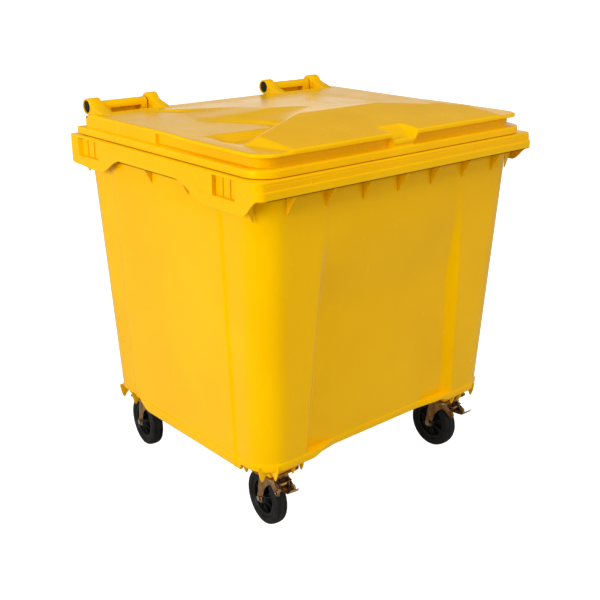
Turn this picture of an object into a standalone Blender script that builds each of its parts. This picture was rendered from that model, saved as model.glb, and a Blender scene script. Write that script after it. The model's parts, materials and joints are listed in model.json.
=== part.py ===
"""Four-wheeled 1100 litre waste bin with a hinged one-piece lid.

Metres, +Z up.  The front faces -Y, the lid hinge is at the back (+Y) and the
origin is on the ground under the middle of the bin.  Every object is one
physical piece, named as a person would name it.
"""

import math

import bmesh
import bpy
from mathutils import Matrix, Vector

GAP = 0.0003                 # running and resting clearance between pieces
SHELL = 0.005                # thickness of every moulded wall

# ---- body: rim -------------------------------------------------------------
RIM_HALF_WIDTH = 0.6325
RIM_FRONT_Y = -0.556
RIM_BACK_Y = 0.522
RIM_TOP_Z = 1.275
RIM_STEP_Z = 1.2475          # at the front the lower band of the rim stands proud
RIM_BOTTOM_Z = 1.2205
RIM_STEP_IN = 0.008
RIM_CORNER = 0.028
RIM_CHAMFER = 0.003

# ---- body: walls -----------------------------------------------------------
WALL_TOP_HALF_WIDTH = 0.598  # at the underside of the rim
WALL_TOP_FRONT_Y = -0.513
WALL_TOP_BACK_Y = 0.507
WALL_DRAFT = 0.0448          # inward metres per metre of height going down
WALL_CORNER = 0.10
CORNER_STEPS = 4             # facets in each quarter turn of a plan outline
WALL_BOTTOM_Z = 0.280
LIP_TOP_Z = 0.300            # a small proud lip runs round the bottom edge
LIP_OUT = 0.002
FLOOR_UNDER_Z = 0.294
FLOOR_TOP_Z = 0.300
PANEL_SLOPE = 0.028          # width of the slanted edge of each wall panel
FRONT_PANEL_X = -0.012       # middle of the set-back panel in the front wall
FRONT_PANEL_TOP_HALF = 0.320
FRONT_PANEL_BOTTOM_HALF = 0.368
FRONT_PANEL_DEPTH = 0.028    # the front panel is set back, more so lower down
FRONT_PANEL_START_Z = 1.00
FRONT_PANEL_FULL_Z = 0.70
SIDE_PANEL_FRONT_Y = -0.330
SIDE_PANEL_BACK_Y = 0.304
SIDE_PANEL_OUT = 0.008       # the side panel stands proud
WALL_LEVELS = (0.70, 0.80, 0.90, 1.00, 1.14)    # heights where the walls have an edge loop
SIDE_APRON_Z = 0.262         # and its foot hangs below the wall's bottom edge
SIDE_APRON_BACK_Y = 0.212    # behind here the apron's edge climbs to the wall's

# ---- body: skirt lobes, ribs and hinge brackets ----------------------------
LOBE_BOTTOM_Z = 1.166
LOBE_CURVE_STEPS = 5
POCKET_YS = ((-0.442, -0.334), (0.334, 0.462))
POCKET_DEPTH = 0.015
POCKET_LOW_Z = 1.206
POCKET_HIGH_Z = 1.268
RIB_PITCH = 0.1581
RIB_COUNT = 7
RIB_MIDDLE_X = -0.018        # the row of ribs sits a little left of centre
RIB_FOOT_Z = 1.156
RIB_THICKNESS = 0.004
SIDE_RIB_YS = (-0.162, 0.045)

# ---- lid -------------------------------------------------------------------
LID_FLANGE_HALF_WIDTH = 0.613
LID_FLANGE_FRONT_Y = -0.535
LID_FLANGE_BACK_Y = 0.502
LID_FLANGE_LOW_Z = 1.281
LID_FLANGE_TOP_Z = 1.301
LID_WALL_IN = 0.024          # lid wall behind the flange edge
LID_BRIM_LOW_Z = 1.335
LID_EDGE_Z = 1.345
LID_CORNER = 0.07
LID_CREST_Z = 1.385          # highest line of the raised centre
LID_CREST_Y = -0.213
LID_REAR_TOP_Z = 1.337
LID_FRONT_TOP_Z = 1.352

# ---- lid hinges ------------------------------------------------------------
HINGE_Y = 0.527
HINGE_Z = 1.360
KNUCKLE_RADIUS = 0.029
HINGE_OUTER_X = 0.5545       # outer face of the outer knuckle
HINGE_OUTER_WIDTH = 0.050
HINGE_BAR_WIDTH = 0.190
HINGE_INNER_WIDTH = 0.042
HINGE_SIDE_GAP = 0.005
HINGE_PIN_RADIUS = 0.0105
HINGE_BORE_RADIUS = 0.0114
PIN_HEAD_RADIUS = 0.0215
PIN_HEAD_THICKNESS = 0.008
HEAD_BORE_RADIUS = 0.0228
HEAD_BORE_DEPTH = 0.010

# ---- castors ---------------------------------------------------------------
SWIVEL_X = 0.4374
SWIVEL_FRONT_Y = -0.377
SWIVEL_BACK_Y = 0.389
WHEEL_RADIUS = 0.100
WHEEL_WIDTH = 0.048
TRAIL = 0.052                # wheel centre behind the swivel axis
CASTOR_HEIGHT = 0.235        # ground to the top of the mounting plate
PLATE_THICKNESS = 0.004
PLATE_HALF_X = 0.070
PLATE_HALF_Y = 0.055
BOLT_HALF_X = 0.0525
BOLT_HALF_Y = 0.040
BOLT_RADIUS = 0.005
BOLT_HOLE_RADIUS = 0.0058
BOLT_TOP_Z = 0.262
FORK_CROWN_TOP_Z = 0.2190
FORK_CROWN_LOW_Z = 0.2050
FORK_INNER_X = 0.029
FORK_SHEET = 0.0035
KINGPIN_RADIUS = 0.006
AXLE_RADIUS = 0.006
BUSH_RADIUS = 0.0095
RIM_OUTER_RADIUS = 0.0720
TYRE_INNER_RADIUS = 0.0723
WHEEL_SEGMENTS = 20          # the rim and the tyre share their facets

# Each castor: name, swivel x, swivel y, resting swivel angle, whether braked.
CASTORS = (
    ("front_left", -SWIVEL_X, SWIVEL_FRONT_Y, math.radians(7.8), True),
    ("front_right", SWIVEL_X, SWIVEL_FRONT_Y, math.radians(0.5), True),
    ("rear_left", -SWIVEL_X, SWIVEL_BACK_Y, math.radians(7.2), False),
    ("rear_right", SWIVEL_X, SWIVEL_BACK_Y, math.radians(4.0), False),
)

# ---- brake on each front castor (in the castor's own frame) ----------------
BRAKE_PIVOT = (-0.050, 0.196)      # y, z of the pedal's pin
BRAKE_CHEEK_X = 0.0135             # half distance between the bracket cheeks
BRAKE_PIN_RADIUS = 0.004
SHOE_PIVOT = (-0.029, 0.1925)
PEDAL_TIP = (-0.124, 0.212)

# ---- drain plug ------------------------------------------------------------
DRAIN_Y = 0.30
DRAIN_RADIUS = 0.026


# ---------------------------------------------------------------------------
# tools
# ---------------------------------------------------------------------------
def clear_scene():
    for obj in list(bpy.data.objects):
        bpy.data.objects.remove(obj, do_unlink=True)


def material(name, colour, roughness, metallic=0.0):
    mat = bpy.data.materials.new(name)
    mat.use_nodes = True
    shader = mat.node_tree.nodes["Principled BSDF"]
    shader.inputs["Base Color"].default_value = (*colour, 1.0)
    shader.inputs["Roughness"].default_value = roughness
    shader.inputs["Metallic"].default_value = metallic
    return mat


def new_object(name, bm, mat=None, smooth=False):
    """Turn a bmesh into a linked object; round pieces are shaded smooth."""
    bmesh.ops.recalc_face_normals(bm, faces=bm.faces)
    mesh = bpy.data.meshes.new(name)
    bm.to_mesh(mesh)
    bm.free()
    if smooth:
        mesh.shade_smooth()
        mesh.set_sharp_from_angle(angle=math.radians(35))
    if mat is not None:
        mesh.materials.append(mat)
    obj = bpy.data.objects.new(name, mesh)
    bpy.context.scene.collection.objects.link(obj)
    return obj


def copy_object(name, source):
    obj = bpy.data.objects.new(name, source.data)
    bpy.context.scene.collection.objects.link(obj)
    return obj


def boolean(target, tool, operation):
    """Cut or join one object with another, then drop the tool."""
    modifier = target.modifiers.new(operation, "BOOLEAN")
    modifier.operation = operation
    modifier.solver = "EXACT"
    modifier.object = tool
    depsgraph = bpy.context.evaluated_depsgraph_get()
    result = bpy.data.meshes.new_from_object(target.evaluated_get(depsgraph))
    target.modifiers.clear()
    name = target.data.name
    target.data = result
    target.data.name = name
    bpy.data.objects.remove(tool, do_unlink=True)


def unite(target, tools):
    for tool in tools:
        boolean(target, tool, "UNION")


def cut(target, tools):
    for tool in tools:
        boolean(target, tool, "DIFFERENCE")


def prism(outline, along, low, high):
    """Extrude a closed 2-D outline along X, Y or Z between two positions."""
    place = {
        "X": lambda a, b, c: (c, a, b),
        "Y": lambda a, b, c: (a, c, b),
        "Z": lambda a, b, c: (a, b, c),
    }[along]
    bm = bmesh.new()
    face = bm.faces.new([bm.verts.new(place(a, b, low)) for a, b in outline])
    raised = bmesh.ops.extrude_face_region(bm, geom=[face])
    verts = [item for item in raised["geom"] if isinstance(item, bmesh.types.BMVert)]
    bmesh.ops.translate(bm, verts=verts, vec=Vector(place(0, 0, high - low)))
    return new_object("prism", bm)


def box(x_range, y_range, z_range):
    (x0, x1), (y0, y1) = x_range, y_range
    return prism([(x0, y0), (x1, y0), (x1, y1), (x0, y1)], "Z", *z_range)


def circle(radius, segments, centre=(0.0, 0.0)):
    step = math.tau / segments
    return [
        (centre[0] + radius * math.cos(step * i), centre[1] + radius * math.sin(step * i))
        for i in range(segments)
    ]


def lathe(name, profile, along, segments, mat=None, centre=(0.0, 0.0, 0.0)):
    """Turn a closed profile of (radius, position) round X or Z."""
    bm = bmesh.new()
    verts = [bm.verts.new((radius, 0.0, height)) for radius, height in profile]
    edges = [bm.edges.new((verts[i - 1], verts[i])) for i in range(len(verts))]
    bmesh.ops.spin(
        bm, geom=verts + edges, cent=(0, 0, 0), axis=(0, 0, 1),
        angle=math.tau, steps=segments, use_merge=True,
    )
    bmesh.ops.remove_doubles(bm, verts=bm.verts, dist=1e-6)
    if along == "X":
        for vert in bm.verts:
            vert.co = Vector((vert.co.z, vert.co.y, -vert.co.x))
    bmesh.ops.translate(bm, verts=bm.verts, vec=Vector(centre))
    return new_object(name, bm, mat, smooth=True)


def rod(radius, along, low, high, segments, centre=(0.0, 0.0)):
    """A plain round bar, as a prism of a regular polygon."""
    return prism(circle(radius, segments, centre), along, low, high)


def loft(rings):
    """Skin a stack of equal-sized closed rings and cap both ends."""
    bm = bmesh.new()
    loops = [[bm.verts.new(point) for point in ring] for ring in rings]
    count = len(loops[0])
    for lower, upper in zip(loops, loops[1:]):
        for i in range(count):
            j = (i + 1) % count
            bm.faces.new((lower[i], lower[j], upper[j], upper[i]))
    bm.faces.new(loops[0])
    bm.faces.new(loops[-1])
    return bm


def smooth_step(low, high, value):
    t = min(max((value - low) / (high - low), 0.0), 1.0)
    return t * t * (3.0 - 2.0 * t)


# ---------------------------------------------------------------------------
# plan outlines: rounded rectangles with extra points on the straight sides
# ---------------------------------------------------------------------------
def corner_arc(centre_x, centre_y, radius, start):
    """A quarter circle, counter-clockwise from the start angle."""
    step = math.pi / 2 / CORNER_STEPS
    return [
        (
            centre_x + radius * math.cos(start + step * i),
            centre_y + radius * math.sin(start + step * i),
        )
        for i in range(CORNER_STEPS + 1)
    ]


def rounded_outline(half_width, front, back, radius, side_points, end_points):
    """Counter-clockwise from the front-left corner.

    side_points lists (y, outward) on the right side from front to back, and
    end_points lists (x, inward) on the front from left to right.  The left
    side and the back mirror them, the back without its inward offset.
    """
    points = corner_arc(-half_width + radius, front + radius, radius, math.pi)
    points += [(x, front + inward) for x, inward in end_points]
    points += corner_arc(half_width - radius, front + radius, radius, -math.pi / 2)
    points += [(half_width + outward, y) for y, outward in side_points]
    points += corner_arc(half_width - radius, back - radius, radius, 0.0)
    points += [(x, back) for x, _ in reversed(end_points)]
    points += corner_arc(-half_width + radius, back - radius, radius, math.pi / 2)
    points += [(-half_width - outward, y) for y, outward in reversed(side_points)]
    return points


def panel_side_points(outward):
    return [
        (SIDE_PANEL_FRONT_Y, 0.0),
        (SIDE_PANEL_FRONT_Y + PANEL_SLOPE / 2, outward),
        (SIDE_APRON_BACK_Y, outward),
        (SIDE_PANEL_BACK_Y - PANEL_SLOPE / 2, outward),
        (SIDE_PANEL_BACK_Y, 0.0),
    ]


def panel_end_points(half, inward):
    return [
        (FRONT_PANEL_X - half, 0.0),
        (FRONT_PANEL_X - half + PANEL_SLOPE, inward),
        (FRONT_PANEL_X + half - PANEL_SLOPE, inward),
        (FRONT_PANEL_X + half, 0.0),
    ]


def wall_outline(z, inset=0.0):
    """Plan of the body wall at a height, moved inward by inset."""
    taper = WALL_DRAFT * (RIM_BOTTOM_Z - min(z, RIM_BOTTOM_Z)) + inset
    level = (RIM_BOTTOM_Z - min(z, RIM_BOTTOM_Z)) / (RIM_BOTTOM_Z - WALL_BOTTOM_Z)
    half = FRONT_PANEL_TOP_HALF + (FRONT_PANEL_BOTTOM_HALF - FRONT_PANEL_TOP_HALF) * level
    depth = FRONT_PANEL_DEPTH * smooth_step(FRONT_PANEL_START_Z, FRONT_PANEL_FULL_Z, z)
    outward = SIDE_PANEL_OUT * smooth_step(RIM_BOTTOM_Z, RIM_BOTTOM_Z - 0.08, z)
    return rounded_outline(
        WALL_TOP_HALF_WIDTH - taper, WALL_TOP_FRONT_Y + taper, WALL_TOP_BACK_Y - taper,
        WALL_CORNER - inset, panel_side_points(outward), panel_end_points(half, depth),
    )


def rim_outline(inset, front_step=0.0):
    return rounded_outline(
        RIM_HALF_WIDTH - inset, RIM_FRONT_Y + front_step + inset, RIM_BACK_Y - inset,
        RIM_CORNER - inset, panel_side_points(0.0),
        panel_end_points(FRONT_PANEL_TOP_HALF, 0.0),
    )


def at_height(outline, z):
    return [(x, y, z) for x, y in outline]


def bottom_ring(inset, z):
    """The wall's bottom edge: the foot of each side panel hangs lower."""
    ring = []
    drop = WALL_BOTTOM_Z - SIDE_APRON_Z
    front = SIDE_PANEL_FRONT_Y + PANEL_SLOPE / 4
    for x, y in wall_outline(WALL_BOTTOM_Z, inset):
        on_apron = front < y < SIDE_APRON_BACK_Y + 0.001
        ring.append((x, y, z - drop if on_apron else z))
    return ring


# ---------------------------------------------------------------------------
# body
# ---------------------------------------------------------------------------
def body_shell():
    """Walls, rim and floor as one continuous skin, from under the floor,
    up the outside, over the rim and down the inside."""
    rim_inside = rim_outline(SHELL)
    rim_upper_inside = rim_outline(SHELL, RIM_STEP_IN)
    rings = [
        at_height(wall_outline(WALL_BOTTOM_Z, SHELL), FLOOR_UNDER_Z),
        bottom_ring(SHELL, WALL_BOTTOM_Z),
        bottom_ring(-LIP_OUT, WALL_BOTTOM_Z),
        at_height(wall_outline(LIP_TOP_Z, -LIP_OUT), LIP_TOP_Z),
        at_height(wall_outline(LIP_TOP_Z), LIP_TOP_Z + LIP_OUT),
    ]
    for z in (*WALL_LEVELS, RIM_TOP_Z - 2 * SHELL):
        rings.append(at_height(wall_outline(z), z))
    rings += [
        at_height(rim_upper_inside, RIM_TOP_Z - 2 * SHELL),
        at_height(rim_upper_inside, RIM_STEP_Z - SHELL),
        at_height(rim_inside, RIM_STEP_Z - SHELL - 0.001),
        at_height(rim_inside, RIM_BOTTOM_Z),
        at_height(rim_outline(0.0), RIM_BOTTOM_Z),
        at_height(rim_outline(0.0), RIM_STEP_Z),
        at_height(rim_outline(0.0, RIM_STEP_IN), RIM_STEP_Z + 0.001),
        at_height(rim_outline(0.0, RIM_STEP_IN), RIM_TOP_Z - RIM_CHAMFER),
        at_height(rim_outline(RIM_CHAMFER, RIM_STEP_IN), RIM_TOP_Z),
    ]
    for z in (RIM_TOP_Z, *reversed(WALL_LEVELS), FLOOR_TOP_Z):
        rings.append(at_height(wall_outline(z, SHELL), z))
    return new_object("bin_body", loft(rings), MAT["moulding"])


def s_curve(start, end, steps):
    """Points of a smooth S between two (y, z) corners."""
    (y0, z0), (y1, z1) = start, end
    points = []
    for i in range(steps + 1):
        t = i / steps
        points.append((y0 + (y1 - y0) * t, z0 + (z1 - z0) * smooth_step(0.0, 1.0, t)))
    return points


def lobe_outlines():
    """The two lobes that hang from each side of the rim, in (y, z)."""
    top = RIM_BOTTOM_Z + 0.002
    front = s_curve((-0.524, RIM_BOTTOM_Z - 0.001), (-0.462, LOBE_BOTTOM_Z), LOBE_CURVE_STEPS)
    front += s_curve((-0.310, LOBE_BOTTOM_Z), (-0.135, RIM_BOTTOM_Z - 0.001), LOBE_CURVE_STEPS)
    front += [(-0.135, top), (-0.524, top)]
    back = s_curve((0.190, RIM_BOTTOM_Z - 0.001), (0.325, LOBE_BOTTOM_Z), LOBE_CURVE_STEPS)
    back += [(0.450, LOBE_BOTTOM_Z + 0.004), (0.478, LOBE_BOTTOM_Z + 0.012)]
    back += [(0.486, LOBE_BOTTOM_Z + 0.024), (0.486, top), (0.190, top)]
    return front, back


def side_skirts():
    """Lobes, and the filled blocks behind the two pockets, on each side."""
    tools = []
    for side in (-1, 1):
        outer = side * (RIM_HALF_WIDTH - 0.0002)
        inner = side * (RIM_HALF_WIDTH - SHELL)
        for outline in lobe_outlines():
            tools.append(prism(outline, "X", *sorted((inner, outer))))
        for y_range in POCKET_YS:
            widened = (y_range[0] - SHELL, y_range[1] + SHELL)
            behind = side * (RIM_HALF_WIDTH - POCKET_DEPTH - SHELL)
            block_x = sorted((behind, side * (RIM_HALF_WIDTH - SHELL / 2)))
            tools.append(box(block_x, widened, (POCKET_LOW_Z - SHELL, RIM_TOP_Z - SHELL)))
    return tools


def pocket_cutters():
    tools = []
    for side in (-1, 1):
        for y_range in POCKET_YS:
            x_range = sorted((side * (RIM_HALF_WIDTH - POCKET_DEPTH), side * 0.70))
            tools.append(box(x_range, y_range, (POCKET_LOW_Z, POCKET_HIGH_Z)))
    return tools


def rim_ribs():
    """Triangular gussets between the walls and the underside of the rim."""
    tools = []
    under = RIM_TOP_Z - 2 * SHELL + 0.001
    for index in range(RIB_COUNT):
        x = RIB_MIDDLE_X + (index - (RIB_COUNT - 1) / 2) * RIB_PITCH
        span = (x - RIB_THICKNESS / 2, x + RIB_THICKNESS / 2)
        front = [
            (WALL_TOP_FRONT_Y + 0.003, RIB_FOOT_Z), (WALL_TOP_FRONT_Y + 0.002, under),
            (RIM_FRONT_Y + SHELL - 0.001, under), (RIM_FRONT_Y + SHELL - 0.001, RIM_BOTTOM_Z),
        ]
        tools.append(prism(front, "X", *span))
        back = [
            (WALL_TOP_BACK_Y - 0.003, RIB_FOOT_Z), (RIM_BACK_Y - SHELL + 0.001, RIM_BOTTOM_Z),
            (RIM_BACK_Y - SHELL + 0.001, under), (WALL_TOP_BACK_Y - 0.002, under),
        ]
        tools.append(prism(back, "X", *span))
    for side in (-1, 1):
        wall = WALL_TOP_HALF_WIDTH - 0.002
        outer = RIM_HALF_WIDTH - SHELL + 0.001
        outline = [
            (side * wall, RIB_FOOT_Z + 0.012), (side * outer, RIM_BOTTOM_Z + 0.001),
            (side * outer, under), (side * wall, under),
        ]
        for y in SIDE_RIB_YS:
            tools.append(prism(outline, "Y", y - RIB_THICKNESS / 2, y + RIB_THICKNESS / 2))
    return tools


def hinge_spans(side):
    """x ranges of the outer knuckle, the bar and the inner knuckle."""
    outer = HINGE_OUTER_X
    spans = []
    for width in (HINGE_OUTER_WIDTH, HINGE_BAR_WIDTH, HINGE_INNER_WIDTH):
        spans.append(sorted((side * outer, side * (outer - width))))
        outer -= width + HINGE_SIDE_GAP
    return spans


def hinge_brackets():
    """The bar that carries each lid hinge, standing on the rear rim."""
    top = HINGE_Z + 0.0155
    outline = [
        (HINGE_Y - 0.018, RIM_TOP_Z - SHELL / 2), (HINGE_Y - 0.0105, RIM_TOP_Z - SHELL / 2),
        (HINGE_Y - 0.0105, RIM_BOTTOM_Z + 0.006), (HINGE_Y + 0.017, 1.250),
        (HINGE_Y + 0.018, HINGE_Z - 0.004), (HINGE_Y + 0.013, top - 0.004),
        (HINGE_Y + 0.007, top), (HINGE_Y - 0.007, top), (HINGE_Y - 0.013, top - 0.004),
        (HINGE_Y - 0.018, HINGE_Z - 0.004),
    ]
    return [prism(outline, "X", *hinge_spans(side)[1]) for side in (-1, 1)]


def bracket_cutters():
    """The hand opening under each bar, and the bore for its pin."""
    tools = []
    for side in (-1, 1):
        low, high = hinge_spans(side)[1]
        opening = (HINGE_Y - 0.040, HINGE_Y + 0.010)
        tools.append(box((low + 0.032, high - 0.032), opening, (1.292, HINGE_Z - 0.0160)))
        bore = rod(HINGE_BORE_RADIUS, "X", low - 0.01, high + 0.01, 12, (HINGE_Y, HINGE_Z))
        tools.append(bore)
    return tools


def castor_mounts():
    """A boss above each castor plate, with ribs out to the walls."""
    tools = []
    face = CASTOR_HEIGHT + GAP
    top = FLOOR_UNDER_Z + 0.002
    edge = WALL_TOP_HALF_WIDTH - WALL_DRAFT * (RIM_BOTTOM_Z - WALL_BOTTOM_Z) - 0.014
    for _, x, y, _, _ in CASTORS:
        side = math.copysign(1.0, x)
        end = math.copysign(1.0, y)
        wall_y = (WALL_TOP_FRONT_Y + 0.046) if end < 0 else (WALL_TOP_BACK_Y - 0.050)
        tools.append(box((x - 0.076, x + 0.076), (y - 0.061, y + 0.061), (face, top)))
        for rib_x in (x - side * 0.062, x - side * 0.015, x + side * 0.048):
            outline = [
                (y + end * 0.050, top), (y + end * 0.050, 0.252),
                (wall_y - end * 0.014, 0.240), (wall_y, WALL_BOTTOM_Z + 0.004), (wall_y, top),
            ]
            span = (rib_x - RIB_THICKNESS / 2, rib_x + RIB_THICKNESS / 2)
            tools.append(prism(outline, "X", *span))
        for rib_y in (y - end * 0.034, y + end * 0.030):
            outline = [
                (x + side * 0.060, top), (x + side * 0.060, 0.252),
                (side * (edge - 0.020), 0.240), (side * edge, WALL_BOTTOM_Z + 0.004),
                (side * edge, top),
            ]
            span = (rib_y - RIB_THICKNESS / 2, rib_y + RIB_THICKNESS / 2)
            tools.append(prism(outline, "Y", *span))
    return tools


def bolt_places(x, y):
    return [
        (x + sx * BOLT_HALF_X, y + sy * BOLT_HALF_Y) for sx in (-1, 1) for sy in (-1, 1)
    ]


def floor_cutters():
    """Blind holes for the castor bolts and kingpins, and the drain hole."""
    tools = []
    low = CASTOR_HEIGHT - 0.01
    for _, x, y, _, _ in CASTORS:
        for place in bolt_places(x, y):
            tools.append(rod(BOLT_HOLE_RADIUS, "Z", low, BOLT_TOP_Z + 0.002, 6, place))
    tools.append(rod(DRAIN_RADIUS, "Z", 0.28, 0.32, 16, (0.0, DRAIN_Y)))
    return tools


def make_body():
    body = body_shell()
    unite(body, side_skirts())
    cut(body, pocket_cutters())
    unite(body, rim_ribs() + hinge_brackets() + castor_mounts())
    cut(body, bracket_cutters() + floor_cutters())


# ---------------------------------------------------------------------------
# lid
# ---------------------------------------------------------------------------
# Foot of the raised centre, right half, as (x, y) from back to front.
DOME_FOOT = (
    (0.430, 0.440), (0.340, 0.159), (0.277, -0.018),
    (0.215, -0.180), (0.500, -0.360), (0.500, -0.600),
)


def distance_inside_dome(x, y):
    """How far a point is inside the foot line of the raised centre."""
    point = Vector((abs(x), y))
    best = 1.0
    sign = 1.0
    for a, b in zip(DOME_FOOT, DOME_FOOT[1:]):
        start = Vector(a)
        step = Vector(b) - start
        t = min(max((point - start).dot(step) / step.length_squared, 0.0), 1.0)
        offset = point - (start + step * t)
        if offset.length < best:
            best = offset.length
            sign = 1.0 if step.cross(offset) < 0 else -1.0
    return best * sign


def crown_height(y):
    """Height of the raised centre: up from the rear edge, down to the front."""
    if y > LID_CREST_Y:
        t = (y - LID_CREST_Y) / (0.47 - LID_CREST_Y)
        return LID_CREST_Z + (LID_REAR_TOP_Z - LID_CREST_Z) * t
    t = (LID_CREST_Y - y) / (LID_CREST_Y - LID_FLANGE_FRONT_Y)
    return LID_CREST_Z + (LID_FRONT_TOP_Z - LID_CREST_Z) * t


def lid_height(x, y):
    """Height of the lid's top face."""
    base = LID_EDGE_Z
    inside = smooth_step(0.585, 0.55, abs(x))
    base -= 0.020 * inside * smooth_step(-0.175, -0.245, y) * smooth_step(-0.345, -0.265, y)
    base -= (LID_EDGE_Z - LID_REAR_TOP_Z) * smooth_step(0.44, 0.485, y)
    rise = smooth_step(0.0, 0.075, distance_inside_dome(x, y))
    return base + (max(crown_height(y), base) - base) * rise


def lid_outline(inset, brim=0.0):
    """Plan of the lid, moved in from the flange edge.

    brim moves the front half outward, where the grip overhangs the wall."""
    outline = rounded_outline(
        LID_FLANGE_HALF_WIDTH - inset, LID_FLANGE_FRONT_Y + inset, LID_FLANGE_BACK_Y - inset,
        LID_CORNER - inset / 2, [(y, 0.0) for y in (-0.33, 0.0, 0.02, 0.30)],
        panel_end_points(FRONT_PANEL_TOP_HALF, 0.0),
    )
    centre_y = (LID_FLANGE_FRONT_Y + LID_FLANGE_BACK_Y) / 2
    half_depth = LID_FLANGE_BACK_Y - inset - centre_y
    moved = []
    for x, y in outline:
        if y < 0.01:
            scale_x = 1.0 + brim / (LID_FLANGE_HALF_WIDTH - inset)
            scale_y = 1.0 + brim / half_depth
            moved.append((x * scale_x, centre_y + (y - centre_y) * scale_y))
        else:
            moved.append((x, y))
    return moved


def scaled_outline(outline, scale):
    centre_y = (LID_FLANGE_FRONT_Y + LID_FLANGE_BACK_Y) / 2
    return [(x * scale, centre_y + (y - centre_y) * scale) for x, y in outline]


def lid_shell():
    """Top face, rolled grip edge, wall and flange as one skin."""
    wall = lid_outline(LID_WALL_IN)
    inner_wall = lid_outline(LID_WALL_IN + SHELL)
    scales = (0.15, 0.36, 0.54, 0.68, 0.80, 0.90, 0.98)
    top = [
        [(x, y, lid_height(x, y)) for x, y in scaled_outline(wall, scale)] for scale in scales
    ]
    under = [
        [(x, y, lid_height(x, y) - SHELL) for x, y in scaled_outline(inner_wall, scale)]
        for scale in scales
    ]
    edge = [(x, y, min(lid_height(x, y) - 0.001, LID_EDGE_Z - 0.002)) for x, y in wall]
    brim = [(x, y, z) for (x, y), (_, _, z) in zip(lid_outline(LID_WALL_IN, 0.021), edge)]
    side = [
        brim,
        at_height(lid_outline(LID_WALL_IN, 0.022), LID_BRIM_LOW_Z),
        at_height(wall, LID_BRIM_LOW_Z - 0.001),
        at_height(wall, LID_FLANGE_TOP_Z),
        at_height(lid_outline(0.003), LID_FLANGE_TOP_Z),
        at_height(lid_outline(0.0), LID_FLANGE_TOP_Z - 0.003),
        at_height(lid_outline(0.0), LID_FLANGE_LOW_Z),
        at_height(lid_outline(SHELL), LID_FLANGE_LOW_Z),
        at_height(lid_outline(SHELL), LID_FLANGE_TOP_Z - SHELL),
        at_height(inner_wall, LID_FLANGE_TOP_Z - SHELL),
        at_height(inner_wall, LID_BRIM_LOW_Z - SHELL),
    ]
    bm = loft(top + side + under[::-1])
    bmesh.ops.triangulate(bm, faces=bm.faces)
    return new_object("lid", bm, MAT["moulding"])


def knuckle_tools():
    """Four knuckles with arms reaching forward over the lid's rear edge."""
    tools = []
    arm = [
        (HINGE_Y + 0.004, HINGE_Z - 0.0265), (HINGE_Y + 0.018, HINGE_Z),
        (HINGE_Y - 0.002, HINGE_Z + 0.0275), (HINGE_Y - 0.020, HINGE_Z + 0.020),
        (0.418, 1.3432), (0.428, 1.3418), (0.470, 1.3290), (0.484, 1.3110),
    ]
    for side in (-1, 1):
        outer, _, inner = hinge_spans(side)
        for span in (outer, inner):
            tools.append(rod(KNUCKLE_RADIUS, "X", *span, 18, (HINGE_Y, HINGE_Z)))
            tools.append(prism(arm, "X", span[0] + 0.0012, span[1] - 0.0012))
    return tools


def knuckle_cutters():
    """A through bore in each knuckle and a wider seat for the pin's heads."""
    tools = []
    centre = (HINGE_Y, HINGE_Z)
    for side in (-1, 1):
        outer, _, inner = hinge_spans(side)
        low = min(outer[0], inner[0])
        high = max(outer[1], inner[1])
        tools.append(rod(HINGE_BORE_RADIUS, "X", low - 0.01, high + 0.01, 12, centre))
        tools.append(rod(HEAD_BORE_RADIUS, "X", low - 0.01, low + HEAD_BORE_DEPTH, 16, centre))
        tools.append(rod(HEAD_BORE_RADIUS, "X", high - HEAD_BORE_DEPTH, high + 0.01, 16, centre))
    return tools


def make_lid():
    lid = lid_shell()
    unite(lid, knuckle_tools())
    cut(lid, knuckle_cutters())
    lid.data.transform(Matrix.Translation((0.0, -HINGE_Y, -HINGE_Z)))
    lid.location = (0.0, HINGE_Y, HINGE_Z)


def make_hinge_pins():
    """Long pins with a broad head at one end and a broad snap end."""
    for side, name in ((-1, "hinge_pin_left"), (1, "hinge_pin_right")):
        outer, _, inner = hinge_spans(side)
        low = min(outer[0], inner[0]) + HEAD_BORE_DEPTH - PIN_HEAD_THICKNESS - GAP
        high = max(outer[1], inner[1]) - HEAD_BORE_DEPTH + PIN_HEAD_THICKNESS + GAP
        middle = (low + high) / 2
        half = (high - low) / 2
        profile = [
            (0.0, -half), (PIN_HEAD_RADIUS - 0.002, -half), (PIN_HEAD_RADIUS, -half + 0.002),
            (PIN_HEAD_RADIUS, -half + PIN_HEAD_THICKNESS),
            (HINGE_PIN_RADIUS, -half + PIN_HEAD_THICKNESS),
            (HINGE_PIN_RADIUS, half - PIN_HEAD_THICKNESS),
            (PIN_HEAD_RADIUS, half - PIN_HEAD_THICKNESS),
            (PIN_HEAD_RADIUS, half - 0.002), (PIN_HEAD_RADIUS - 0.002, half), (0.0, half),
        ]
        pin = lathe(name, profile, "X", 12, MAT["black_plastic"])
        pin.location = (middle, HINGE_Y, HINGE_Z)


# ---------------------------------------------------------------------------
# castors, each modelled round its own swivel axis with the wheel towards +Y
# ---------------------------------------------------------------------------
def hexagon(radius, centre=(0.0, 0.0)):
    return circle(radius, 6, centre)


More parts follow.
